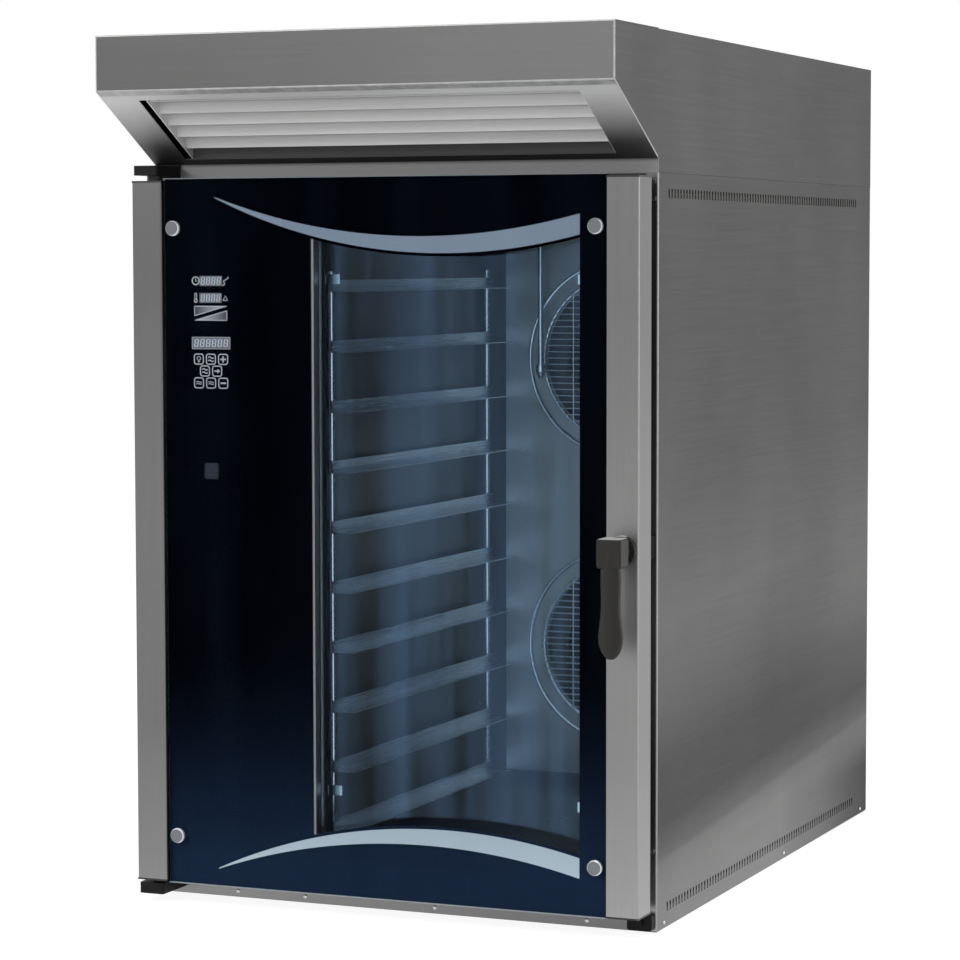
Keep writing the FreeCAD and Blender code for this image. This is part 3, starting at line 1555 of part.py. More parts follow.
def hinge_bracket(name, tall, foot_tall, pin_span):
    """An arm with a foot on the body's front, and the pressed-in pin that the door turns on."""
    nose = f"({DOOR_FRONT} + hinge_block_lap)"
    arm = extrude("z", tall, rectangle(HINGE_X, (nose, FRONT)))
    rounded(arm, "z", "hinge_round", *((x, nose) for x in HINGE_X))
    body = join(arm, block(HINGE_X, (f"({FRONT} - hinge_foot_sheet)", FRONT), foot_tall))
    start = (PIVOT_X, PIVOT_Y, pin_span[0])
    length = f"{pin_span[1]} - {pin_span[0]}"
    bore = rod("z", start, length, "hinge_pin + running_gap")
    pin = rod("z", start, length, "hinge_pin")
    node(name, group(cut(body, bore), pin))


def hinge_bushes():
    """Flanged bushes in the hinge side's end caps, riding on the pins."""
    outer = "(hinge_pin + running_gap + bush_wall)"
    low_flange = "(hinge_gap_low - fit_gap)"
    high_flange = "(hinge_gap_high - fit_gap)"
    low = f"(door_bottom - {low_flange})"
    high = f"({DOOR_TOP} - bush_length)"
    bushes = []
    for start, flange, flange_start in ((low, low_flange, low), (high, high_flange, DOOR_TOP)):
        length = f"(bush_length + {flange})"
        sleeve = rod("z", (PIVOT_X, PIVOT_Y, start), length, outer)
        rim = rod("z", (PIVOT_X, PIVOT_Y, flange_start), flange, "bush_flange")
        bore = rod("z", (PIVOT_X, PIVOT_Y, start), length, "hinge_pin + running_gap")
        bushes.append(cut(join(sleeve, rim), bore))
    node("hinge_bushes", group(*bushes))


def lower_right_bracket():
    """The spare hinge foot at the lower right, with its bolt."""
    right = f"({DOOR_SIDE} - hinge_block_lap)"
    left = f"({right} - bracket_width)"
    face = f"({FRONT} - bracket_depth)"
    tall = ("bracket_low", "(bracket_low + bracket_height)")
    body = extrude("y", (face, FRONT), rectangle((left, right), tall))
    rounded(body, "y", "hinge_round")
    middle = (f"{left} + bracket_width / 2", f"{face} - bolt_head", "bracket_low + bracket_height / 2")
    bolt = rod("y", middle, "bolt_head", "bolt_radius")
    node("lower_right_bracket", group(body, bolt))


def panel_screws():
    """Screw heads on the side panels' front flanges."""
    heads = []
    for side in (-1, 1):
        x = f"{side} * ({SIDE} - screw_edge)"
        for z in ("body_height - screw_drop", "body_height - screw_second", "screw_low"):
            heads.append(rod("y", (x, f"{FRONT} - screw_head", z), "screw_head", "screw_radius"))
    node("panel_screws", group(*heads))


# Handle and latch


def handle():
    """The fixed rosette, the turning lever on its stem, and the hook behind the stile."""
    at = (HANDLE_X, HANDLE_Z)
    face = f"({DOOR_FRONT} - rosette_depth)"
    rosette = rod("y", (at[0], face, at[1]), "rosette_depth", "rosette_radius")
    bore = rod("y", (at[0], face, at[1]), "rosette_depth", "spindle_radius + running_gap")
    node("handle_rosette", cut(rosette, bore))
    half = "(head_width / 2)"
    head_back = f"({HEAD_FRONT} + head_depth)"
    head = extrude(
        "y",
        (HEAD_FRONT, head_back),
        rectangle(
            (f"({at[0]} - {half})", f"({at[0]} + {half})"),
            (f"({at[1]} - head_height / 2)", f"({at[1]} + head_height / 2)"),
        ),
    )
    rounded(head, "y", "head_round")
    rounded_rim(head, "y", HEAD_FRONT, "head_edge")
    stem_end = f"({face} - fit_gap)"
    stem = rod("y", (at[0], head_back, at[1]), f"{stem_end} - {head_back}", "stem_radius")
    spindle_end = f"({DOOR_BACK} + hook_gap + hook_back + hook_sheet)"
    spindle = rod("y", (at[0], head_back, at[1]), f"{spindle_end} - {head_back}", "spindle_radius")
    sections = []
    y = f"({HEAD_FRONT} + lever_half_depth)"
    stations = [
        ("0", "lever_neck", "lever_half_depth"),
        ("lever_step", "lever_neck", "lever_half_depth"),
        ("2 * lever_step", "lever_waist", "lever_half_depth"),
        ("3 * lever_step", "lever_shoulder", "lever_half_depth"),
        ("4 * lever_step", "lever_swell", "lever_half_depth"),
        ("lever_tip_drop", "lever_tip", "lever_tip_depth"),
        ("lever_brink_drop", "lever_brink", "lever_brink_depth"),
        ("lever_length", "lever_end", "lever_end_depth"),
    ]
    for drop, half_width, half_depth in stations:
        section = doc.addObject("Part::Ellipse", "section")
        bind(section, MajorRadius=half_width, MinorRadius=half_depth)
        place(section, at[0], y, f"{at[1]} - {drop}")
        sections.append(section)
    lever = doc.addObject("Part::Loft", "lever")
    lever.Sections = sections
    lever.Solid = True
    node("handle_lever", join(head, stem, spindle, lever))
    hook_y = f"({DOOR_BACK} + hook_gap)"
    end_y = f"({hook_y} + hook_back + hook_sheet)"
    hub = rod("y", (at[0], hook_y, at[1]), f"{end_y} - {hook_y}", "hook_hub")
    finger = block(
        (at[0], f"({at[0]} + hook_length)"),
        (f"({hook_y} + hook_back)", end_y),
        (f"({at[1]} - hook_half_width)", f"({at[1]} + hook_half_width)"),
    )
    seat = rod("y", (at[0], hook_y, at[1]), f"{end_y} - {hook_y}", "spindle_radius + running_gap")
    node("latch_hook", cut(join(hub, finger), seat))


def latch_keeper():
    """The folded keeper on the body's front that the hook turns behind."""
    lip = f"({DOOR_BACK} + hook_gap)"
    post = f"({HANDLE_X} + hook_length + spindle_radius / 2)"
    corners = [
        (f"{post} + keeper_sheet", FRONT),
        (f"{post} + keeper_sheet", lip),
        (f"{post} + keeper_sheet - keeper_reach", lip),
        (f"{post} + keeper_sheet - keeper_reach", f"{lip} + keeper_sheet"),
        (post, f"{lip} + keeper_sheet"),
        (post, FRONT),
    ]
    tall = (f"({HANDLE_Z} - keeper_height / 2)", f"({HANDLE_Z} + keeper_height / 2)")
    node("latch_keeper", extrude("z", tall, corners))


base_pan()
side_panel("left_side_panel", -1)
side_panel("right_side_panel", 1)
rear_panel()
top_panel()
front_fascia()
chamber_liner()
insulation()
door_gasket()
tray_rack("left_tray_rack", CHAMBER_LEFT, 1)
tray_rack("right_tray_rack", CHAMBER_RIGHT, -1)
fan_baffle()
for level, height in FAN_HEIGHTS.items():
    fan_guard(f"{level}_fan_guard", height)
    heating_element(f"{level}_heating_element", height)
    fan_motor(f"{level}_fan_motor", height)
    fan_wheel(f"{level}_fan_wheel", height)
steam_pipe()
water_valve()
drain_pipe()
chamber_lamp()
temperature_probe()
vent_chimney()
electrics()
hood_cheek("hood_left_cheek", -1)
hood_cheek("hood_right_cheek", 1)
hood_front()
hood_underside()
hood_louvres()
hood_top()
extractor()
door_stile("left_door_stile", -1)
door_stile("right_door_stile", 1)
stile_end_caps()
outer_glass()
glass_caps()
door_front_frame()
door_back_pan()
inner_glass()
control_module()
hinge_bracket("lower_hinge_bracket", LOW_BLOCK, LOW_FOOT, LOW_PIN)
hinge_bracket("upper_hinge_bracket", HIGH_BLOCK, HIGH_FOOT, HIGH_PIN)
hinge_bushes()
lower_right_bracket()
panel_screws()
handle()
latch_keeper()
doc.recompute()

faults = [thing.Label for thing in doc.Objects if {"Invalid", "Error"} & set(thing.State)]
for name, thing in nodes.items():
    if thing.Shape.isNull() or not thing.Shape.isValid() or not thing.Shape.Solids:
        faults.append(name)
if faults:
    raise RuntimeError("failed pieces: " + ", ".join(faults))

os.makedirs("parts", exist_ok=True)
for name, thing in nodes.items():
    thing.Shape.exportStep(f"parts/{name}.step")
    print(f"{name}: {len(thing.Shape.Solids)} solids, {thing.Shape.Volume:.0f} mm3")
print(len(nodes), "sub-parts")
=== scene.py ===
# %% [markdown]
# # Dressing a steam convection oven
# The solids of the oven come ready made: sheet panels, door, racks, fans and hood, in metres and in
# place. This lesson gives them their finishes, adds the prints behind the door glass and the smallest
# fasteners, and sets up a plain studio. Loading the frame first means that every new piece can be placed
# by the sizes of the solids and not by eye.

# %% Load the packed model
import math

import bmesh
import bpy
import numpy as np
from mathutils import Matrix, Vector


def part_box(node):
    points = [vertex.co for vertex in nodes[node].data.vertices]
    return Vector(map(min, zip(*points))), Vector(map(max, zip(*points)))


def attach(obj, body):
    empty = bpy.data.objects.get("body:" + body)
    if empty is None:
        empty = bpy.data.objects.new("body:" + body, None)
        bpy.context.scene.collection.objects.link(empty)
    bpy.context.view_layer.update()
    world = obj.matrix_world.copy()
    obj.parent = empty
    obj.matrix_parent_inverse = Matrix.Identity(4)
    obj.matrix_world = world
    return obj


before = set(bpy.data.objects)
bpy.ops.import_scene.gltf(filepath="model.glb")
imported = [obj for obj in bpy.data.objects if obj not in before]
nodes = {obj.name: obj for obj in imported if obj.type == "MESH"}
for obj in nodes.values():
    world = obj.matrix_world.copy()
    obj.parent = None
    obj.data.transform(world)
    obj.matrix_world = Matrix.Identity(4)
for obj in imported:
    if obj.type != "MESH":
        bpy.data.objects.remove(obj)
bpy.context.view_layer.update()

# %% [markdown]
# ## Camera
# The picture was taken from about five and a half metres away with a long lens, a little above the middle
# of the oven and turned towards its right side. A camera could be aimed with a constraint, but writing its
# three axes from yaw, pitch and roll keeps the numbers that were measured from the picture.

# %% Camera at the picture's viewing angle
YAW, PITCH, ROLL = np.radians([22.7817, 4.0188, 0.0920])
STAND = (2.10756, -5.28411, 1.06933)
FOCAL_LENGTH = 118.65
SENSOR_WIDTH = 36.0

forward = np.array([-math.sin(YAW) * math.cos(PITCH), math.cos(YAW) * math.cos(PITCH), -math.sin(PITCH)])
level = np.array([math.cos(YAW), math.sin(YAW), 0.0])
upright = np.cross(level, forward)
axes = np.eye(4)
axes[:3, 0] = math.cos(ROLL) * level - math.sin(ROLL) * upright
axes[:3, 1] = math.sin(ROLL) * level + math.cos(ROLL) * upright
axes[:3, 2] = -forward
axes[:3, 3] = STAND

lens = bpy.data.cameras.new("studio_camera")
lens.lens = FOCAL_LENGTH
lens.sensor_width = SENSOR_WIDTH
camera = bpy.data.objects.new("studio_camera", lens)
camera.matrix_world = Matrix(axes.tolist())
bpy.context.scene.collection.objects.link(camera)
bpy.context.scene.camera = camera
bpy.context.scene.view_settings.view_transform = "Standard"
print("camera looks along", np.round(forward, 3).tolist())

# %% [markdown]
# ## Shader sums in plain Python
# A finish is a small network of nodes. Placing nodes one by one hides the sum they make, so this class
# wraps a socket: adding or multiplying two links adds the Math node that does it, and `make` adds any other
# node with its settings first and its sockets after.

# %% A socket that can be added and multiplied


class Link:
    """A socket in a node tree. Operators add Math nodes, make() adds any other node."""

    def __init__(self, tree, socket=None):
        self.tree = tree
        self.socket = socket

    def make(self, kind, settings, sockets, output=0):
        node = self.tree.nodes.new(kind)
        stops = settings.get("stops", [])
        for name, value in settings.items():
            if name != "stops":
                setattr(node, name, value)
        for index, (position, colour) in enumerate(stops):
            ramp = node.color_ramp.elements
            stop = ramp[index] if index < 2 else ramp.new(position)
            stop.position = position
            stop.color = colour
        for name, value in sockets.items():
            if isinstance(value, Link):
                self.tree.links.new(value.socket, node.inputs[name])
            else:
                node.inputs[name].default_value = value
        return Link(self.tree, node.outputs[output] if node.outputs else None)

    def sum(self, operation, first, second):
        return self.make("ShaderNodeMath", {"operation": operation}, {0: first, 1: second})

    def __add__(self, other):
        return self.sum("ADD", self, other)

    def __radd__(self, other):
        return self.sum("ADD", other, self)

    def __sub__(self, other):
        return self.sum("SUBTRACT", self, other)

    def __rsub__(self, other):
        return self.sum("SUBTRACT", other, self)

    def __mul__(self, other):
        return self.sum("MULTIPLY", self, other)

    def __rmul__(self, other):
        return self.sum("MULTIPLY", other, self)


print("operators:", [name for name in vars(Link) if name.startswith("__r")])

# %% [markdown]
# ## Words for a finish
# Every finish below is built from the same few steps: where a place is, a noise there, a mix of two colours,
# a swing about a middle value, and a plane that splits the object in two. Each could be written out node by
# node every time. As small functions they let a finish read like a sentence.

# %% Noise, mixes and planes
EVEN = (1.0, 1.0, 1.0)
SHARP = 0.0004


def blank(name):
    """A new material with an empty tree, and the link that starts it."""
    material = bpy.data.materials.new(name)
    material.use_nodes = True
    material.node_tree.nodes.clear()
    return material, Link(material.node_tree)


def surface(start, sockets):
    """Ends a tree: a Principled shader with these sockets goes to the output."""
    shader = start.make("ShaderNodeBsdfPrincipled", {}, sockets)
    start.make("ShaderNodeOutputMaterial", {}, {"Surface": shader})


def place(start):
    """Object coordinates, which are metres in the oven's own frame."""
    return start.make("ShaderNodeTexCoord", {}, {}, "Object")


def noise(spot, scale, detail, rough):
    """Noise between 0 and 1. Its scale is in bumps per metre: one number, or one each for X, Y and Z."""
    each = scale if isinstance(scale, tuple) else (scale, scale, scale)
    stretched = spot.make("ShaderNodeMapping", {}, {"Vector": spot, "Scale": each})
    sockets = {"Vector": stretched, "Scale": 1.0, "Detail": detail, "Roughness": rough}
    return spot.make("ShaderNodeTexNoise", {}, sockets)


def sway(value, share):
    """A noise as a swing about 0: (value - 0.5) x share."""
    return (value - 0.5) * share


def blend(factor, first, second):
    """Two colours mixed by a factor."""
    settings = {"data_type": "RGBA", "clamp_factor": True}
    return factor.make("ShaderNodeMix", settings, {0: factor, 6: first, 7: second}, 2)


def grey(value, tint=EVEN):
    """A linear colour of one brightness and a slight tint."""
    return (value * tint[0], value * tint[1], value * tint[2], 1.0)


def times(colour, factor):
    """A colour made brighter or darker by a factor."""
    return colour.make("ShaderNodeVectorMath", {"operation": "SCALE"}, {0: colour, "Scale": factor})


def toward(spot, direction):
    """How far a place lies in a direction, in metres: the dot product with it."""
    settings = {"operation": "DOT_PRODUCT"}
    return spot.make("ShaderNodeVectorMath", settings, {0: spot, 1: direction}, "Value")


def past(spot, direction, distance, width=SHARP):
    """0 before a plane and 1 behind it: (dot product - distance) / width, kept between 0 and 1."""
    settings = {"operation": "MULTIPLY", "use_clamp": True}
    return spot.make("ShaderNodeMath", settings, {0: toward(spot, direction) - distance, 1: 1.0 / width})


print("a grey of 0.5 is written", grey(0.5))

# %% [markdown]
# ## Brushed sheet steel
# Panels like these are cut from sheet that a belt has brushed in one direction. The lines are far finer
# than a millimetre, so they show as a grain and as streaks in the shine. A picture of steel could be wrapped
# round the panels, but it would show seams. A stretched noise gives the same look: it changes slowly along
# the grain and fast across it. A second, wide noise is the soft cloudiness of wiped steel. Folded corners get
# a painted highlight, pale and a little matt, where the bends catch the light. Such a line is found by asking
# which side of a few planes a place lies on, which needs no extra mesh.

# %% Brushed steel as a function
NEUTRAL = (1.0, 1.0, 0.995)
GRAIN = {"x": (5.0, 700.0, 700.0), "y": (700.0, 5.0, 700.0), "z": (700.0, 700.0, 5.0)}
CLOUDS = (2.1, 2.6, 1.7)
FLECKS = 60.0
GRAIN_SHARE, CLOUD_GAIN, FLECK_SHARE = 0.55, 8.0, 0.10
TONE_SPREAD = 0.20
CLOUD_DULLS, GRAIN_DULLS = 0.18, 0.12
GRAIN_HEIGHT = 0.0004
PLAIN = [(0.0, 1.0), (1.0, 1.0)]
HIGHEST = 1.5
# How strong and how matt the painted highlights along folded edges are.
LEAST_HIGHLIGHT, HIGHLIGHT_SPREAD = 0.4, 0.8
HIGHLIGHT_MATT = 0.6


def paint_highlight(colour, metal, spot, edges, pale):
    """A painted highlight: the colour and its share of metal turn paler and partly matt where all planes of
    an edge are passed.

    How strong the painted highlight is: patchy noise x each plane of the edge."""
    for planes in edges:
        highlight_share = noise(spot, FLECKS, detail=2.0, rough=0.5) * HIGHLIGHT_SPREAD + LEAST_HIGHLIGHT
        for direction, distance in planes:
            highlight_share = highlight_share * past(spot, direction, distance)
        colour = blend(highlight_share, colour, pale)
        metal = metal * (1.0 - highlight_share * HIGHLIGHT_MATT)
    return colour, metal


def brushed(name, tone, axis, rough=0.34, tint=NEUTRAL, clouds=0.10, depth=0.10, metal=1.0, graze=1.0,
            bands=PLAIN, lean=0.0, ripple=0.04, drift=(0.0, 0.0, 0.0), shades=(), edges=(), highlight_pale=0.36):
    """Steel brushed along one axis: tone x band x drift x (1 +- clouds +- grain), rougher where it is paler.

    A band is how pale the sheet is at a height in metres, and bands paint reflections and shade into the
    colour; lean tilts the bands from front to rear and ripple waves them. Drift is how much paler it gets per
    metre. A shade is painted shade, a share of darkness behind soft planes, and a negative share paints
    light;
    a painted highlight lies where all of an edge's sharp planes are passed; a plane is a direction and a
    distance.
    Graze is the shine seen edge on."""
    material, start = blank(name)
    spot = place(start)
    grain = noise(spot, GRAIN[axis], detail=4.0, rough=0.6)
    cloud = noise(spot, CLOUDS, detail=4.0, rough=0.5)
    fleck = noise(spot, FLECKS, detail=2.0, rough=0.5)
    mottle = 0.5 + sway(grain, GRAIN_SHARE) + sway(cloud, CLOUD_GAIN * clouds) + sway(fleck, FLECK_SHARE)
    palest = max(pale for _, pale in bands)
    stops = [(height / HIGHEST, grey(pale / palest)) for height, pale in bands]
    height = (toward(spot, (0.0, lean, 1.0)) + sway(cloud, ripple)) * (1.0 / HIGHEST)
    band = start.make("ShaderNodeValToRGB", {"stops": stops}, {"Fac": height})
    darkest, brightest = [grey(tone * palest * (1.0 + way * TONE_SPREAD), tint) for way in (-1, 1)]
    colour = times(blend(mottle, darkest, brightest), band * (1.0 + toward(spot, drift)))
    # Painted shade behind soft planes; a negative share paints a highlight.
    for share, planes in shades:
        for direction, distance, width in planes:
            share = share * past(spot, direction, distance, width)
        colour = times(colour, 1.0 - share)
    # Painted highlights along the given edges.
    colour, metal = paint_highlight(colour, metal, spot, edges, grey(highlight_pale, tint))
    shine = rough + sway(cloud, CLOUD_DULLS) + sway(grain, GRAIN_DULLS)
    bump = start.make("ShaderNodeBump", {}, {"Strength": depth, "Distance": GRAIN_HEIGHT, "Height": grain})
    sockets = {"Base Color": colour, "Metallic": metal, "Roughness": shine, "Normal": bump}
    sockets["Specular Tint"] = grey(graze)
    surface(start, sockets)
    return material


print("grain:", GRAIN)

# %% [markdown]
# ## Painted highlights on the steel
# On the oven the painted highlights follow the folds: the front of the side panels, the rim of the hood, the
# edges of the door's stiles and the turned sides of the glass caps, where the bends catch the light. Their
# planes could be typed in, but the solids know where they end, so each plane is a strip of a few millimetres
# measured from a solid's own box.

# %% Painted highlight edges from the boxes of the solids
MILLIMETRE = 0.001
RIGHT, LEFT = (1, 0, 0), (-1, 0, 0)
REAR, FRONT = (0, 1, 0), (0, -1, 0)
UP, DOWN = (0, 0, 1), (0, 0, -1)
SLANT = (0.0, -0.494, -0.869)
FOLD = 2.4


def reach(name, direction):
    """How far a solid's box reaches in a direction, in metres: the largest dot product of its corners."""
    return float(np.multiply(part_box(name), direction).max(axis=0).sum())


def strip(name, direction, width):
    """The plane that leaves a strip, this many millimetres wide, at a solid's end in a direction."""
    return direction, reach(name, direction) - width * MILLIMETRE


panel_edges = [
    [strip("right_side_panel", RIGHT, 2.5), strip("right_side_panel", FRONT, FOLD)],
    [strip("left_side_panel", LEFT, 2.5), strip("left_side_panel", FRONT, FOLD)],
]
lip = (0.0, -reach("hood_underside", FRONT), -reach("hood_front", DOWN))
slant_plane = (SLANT, float(np.dot(SLANT, lip)) - FOLD * MILLIMETRE)
before_panel = strip("right_side_panel", FRONT, -2.0)
cheek_edges = [[strip("hood_right_cheek", FRONT, FOLD)], [slant_plane, before_panel]]
hood_face = strip("hood_front", FRONT, 2.0)
hood_front_half = strip("hood_front", FRONT, 101.0)
hood_edges = [[strip("hood_front", DOWN, 9.2), hood_front_half]]
hood_edges += [[strip("hood_front", way, FOLD), hood_face] for way in (UP, RIGHT, LEFT)]
stile_edges = [
    [strip("left_door_stile", RIGHT, 1.8), (LEFT, 0.0), strip("left_door_stile", FRONT, 0.5)],
    [strip("right_door_stile", RIGHT, 2.3), strip("right_door_stile", FRONT, 2.3)],
]
cap_edges = [[(REAR, -strip("glass_caps", FRONT, 0.1)[1])]]
handle_edges = [[strip("handle_lever", UP, 1.0)]]
print("planes of the hood's folds:", [round(planes[0][1], 4) for planes in hood_edges])

# %% [markdown]
# ## The oven's steels
# Grain direction, tone and shine differ from panel to panel. Bands and shades could come from a room built
# round the oven, but then they would change with every light. The tall side panels mirror a pale floor low
# down and a darker room above it, and their lower rear corner lies in shade, so that reflection and shade are
# painted into their colour, with a painted highlight a little above the shade. The hood's underside gets
# painted shade that darkens it towards the door, the stiles a painted reflection that pales towards the
# floor, and the fascia painted shade along its top under the hood. The slats' upper edges get painted shade,
# along a band that leans as the row of slats does. Slats and underside are partly matt: dust and steam dull
# them.

# %% Steel finishes
# Painted reflection: the side panels are pale low down, where they mirror the floor, and darker above.
PANEL_BANDS = [(0.0, 1.85), (0.11, 1.65), (0.145, 1.40), (0.155, 1.10), (0.21, 0.74), (0.30, 0.76),
               (0.43, 1.08), (0.53, 1.22), (0.62, 1.12), (0.75, 1.0), (1.2, 0.97)]
# Painted shade in the side panels' lower rear corner, and a painted highlight (negative share) just above it.
PANEL_SHADES = [(0.68, [(DOWN, -0.19, 0.10), (REAR, 0.05, 0.60)]),
                (-0.3, [(UP, 0.20, 0.12), (DOWN, -0.55, 0.15), (REAR, 0.0, 0.60)])]
# Painted reflection: the stiles pale towards the floor.
STILE_BANDS = [(0.0, 1.55), (0.10, 1.35), (0.3, 1.05), (0.7, 1.0), (1.0, 0.82), (1.2, 0.84)]
# Painted shade: the hood's underside darkens just above its rail, towards the door, and pales towards the
# rear.
UNDER_BANDS = [(0.0, 1.85), (1.2236, 1.85), (1.2245, 0.25), (1.25, 0.45), (1.29, 2.2), (1.32, 3.4)]
# Painted shade: the fascia turns dark along its top, under the hood's rail.
FASCIA_BANDS = [(0.0, 1.0), (1.183, 1.0), (1.188, 0.06)]
# Painted shade: the slats' upper edges are dark along a band that leans with the row of slats.
SLAT_STEP = 0.568
SLAT_BANDS = [(0.0, 1.0), (0.9030, 1.0), (0.9036, 0.22), (1.2, 0.22)]
COOL = (0.94, 0.99, 1.06)

# Painted light: the hood pales towards the right by its drift, and its rims carry painted highlights.
hood_steel = brushed("hood_brushed_steel", 0.138, "x", 0.48, drift=(0.50, 0.0, 0.0), edges=hood_edges,
                     highlight_pale=0.50)
slat_steel = brushed("slat_steel", 0.78, "x", 0.60, metal=0.30, bands=SLAT_BANDS, lean=SLAT_STEP,
                     ripple=0.0)
under_steel = brushed("underside_steel", 0.19, "x", 0.58, metal=0.40, bands=UNDER_BANDS, ripple=0.0)
# The stiles carry a painted reflection by their bands and painted highlights along their folded edges.
stile_steel = brushed("stile_brushed_steel", 0.190, "z", 0.42, bands=STILE_BANDS, drift=(0.36, 0.0, 0.0),
                      edges=stile_edges)
# Side panels: painted reflection, shade and highlight in the colour, and painted highlights along the folds.
panel_steel = brushed("panel_steel", 0.205, "y", 0.34, clouds=0.05, graze=0.35, bands=PANEL_BANDS,
                      lean=-0.065, ripple=0.02, drift=(0.0, 0.06, 0.0), shades=PANEL_SHADES,
                      edges=panel_edges, highlight_pale=0.38)
# The hood cheeks carry painted highlights along their front and slanted edges.
cheek_steel = brushed("cheek_steel", 0.205, "y", 0.34, clouds=0.05, graze=0.35, drift=(0.0, 0.06, 0.0),
                      edges=cheek_edges, highlight_pale=0.55)
trim_steel = brushed("trim_steel", 0.22, "x", 0.36, drift=(-0.55, 0.0, 0.0))
fascia_steel = brushed("fascia_steel", 0.62, "z", 0.60, metal=0.25, bands=FASCIA_BANDS, ripple=0.0)
rear_steel = brushed("rear_steel", 0.24, "z", 0.36)
chamber_steel = brushed("chamber_steel", 0.185, "z", 0.36, clouds=0.12, depth=0.0)
baffle_steel = brushed("baffle_steel", 0.40, "z", 0.40, clouds=0.12, depth=0.0)
rack_steel = brushed("rack_steel", 0.95, "y", 0.28, tint=COOL, clouds=0.03, depth=0.0)
wire_steel = brushed("bright_wire_steel", 0.88, "z", 0.28, tint=COOL, clouds=0.05, depth=0.0)
# The glass caps' turned sides get a bright painted highlight.
cap_steel = brushed("turned_cap_steel", 0.19, "x", 0.26, tint=COOL, clouds=0.05, depth=0.02,
                    edges=cap_edges, highlight_pale=0.95)
screw_steel = brushed("screw_steel", 0.62, "x", 0.22, tint=COOL, clouds=0.05, depth=0.0)
keeper_steel = brushed("keeper_steel", 0.03, "z", 0.5, graze=0.35)
print("steel finishes:", [m.name for m in bpy.data.materials if "steel" in m.name])

# %% [markdown]
# ## Plastics, rubber, wool, paint and castings
# Moulded plastic has a fine leathery skin from its mould, rubber is matt and dusty, mineral wool is a tangle
# of fibres, motor paint has a slight orange peel and cast metal is finely pitted. Each could get a network
# of its own, but all are one idea at different scales: a noise that moves the colour, the roughness and the
# bump together.

# %% Dull finishes
WARM, YELLOW = (1.05, 1.0, 0.93), (1.1, 1.0, 0.72)
BLUE, GOLD = (0.8, 0.95, 1.15), (1.2, 0.92, 0.48)
WEAR = 9.0
SKIN_SHARE, WEAR_SHARE = 0.6, 0.4
WEAR_DULLS, SKIN_DULLS = 0.16, 0.08
SKIN_STRENGTH = 0.35
# How pale a painted highlight on a moulded edge is.
EDGE_HIGHLIGHT_PALE = 0.6


def moulded(name, dark, pale, scale, rough, tint=EVEN, depth=0.0003, metal=0.0, gloss=0.5, edges=()):
    """A skin of bumps: colour from dark to pale, roughness and height all follow one noise."""
    material, start = blank(name)
    spot = place(start)
    skin = noise(spot, scale, detail=3.0, rough=0.6)
    wear = noise(spot, WEAR, detail=4.0, rough=0.6)
    tone = blend(skin * SKIN_SHARE + wear * WEAR_SHARE, grey(dark, tint), grey(pale, tint))
    tone, metal = paint_highlight(tone, metal, spot, edges, grey(EDGE_HIGHLIGHT_PALE))
    shine = rough + sway(wear, WEAR_DULLS) + sway(skin, SKIN_DULLS)
    bump = start.make("ShaderNodeBump", {}, {"Strength": SKIN_STRENGTH, "Distance": depth, "Height": skin})
    sockets = {"Base Color": tone, "Metallic": metal, "Roughness": shine, "Normal": bump}
    sockets["Specular IOR Level"] = gloss
    surface(start, sockets)
    return material


# The handle's upper edge gets a painted highlight.
handle_plastic = moulded("handle_plastic", 0.010, 0.026, 900.0, 0.46, WARM, gloss=0.25, edges=handle_edges)
black_plastic = moulded("black_plastic", 0.008, 0.018, 700.0, 0.42)
hinge_black = moulded("hinge_black_paint", 0.004, 0.010, 260.0, 0.46, gloss=0.15)
seal_rubber = moulded("seal_rubber", 0.13, 0.20, 500.0, 0.62)
wool = moulded("mineral_wool", 0.30, 0.55, 160.0, 0.9, YELLOW, depth=0.003)
motor_paint = moulded("motor_paint", 0.06, 0.10, 220.0, 0.44, BLUE, depth=0.0004)
wheel_alloy = moulded("wheel_alloy", 0.08, 0.14, 300.0, 0.40, metal=1.0)
cast_alloy = moulded("cast_aluminium", 0.34, 0.46, 300.0, 0.36, metal=1.0)
brass = moulded("turned_brass", 0.42, 0.52, 300.0, 0.28, GOLD, depth=0.0002, metal=1.0)
sheath = moulded("heater_sheath", 0.10, 0.20, 240.0, 0.5, WARM, metal=1.0)
print("dull finishes:", handle_plastic.name, black_plastic.name, seal_rubber.name, wool.name)

# %% [markdown]
# ## Glass panes
# A flat pane does three things at once: most light goes straight through, a faint veil of wiping marks
# mirrors the room everywhere, and seen at a low angle the glass turns into a mirror. Two mixes say just
# that, the second by Fresnel. It is quieter than true refraction in a closed solid, and the chamber stays
# visible. The inner pane has more veil, because steam and cloths reach it, and a faint blue of its own, so
# the plain steel behind it looks blue while the door is shut.

# %% Pane finishes
WIPING = (14.0, 3.0, 0.7)
STREAKS = 7.0
HAZE_ROUGHNESS, CLEAR_ROUGHNESS = 0.04, 0.02
CLEAR_SHINE = 0.9


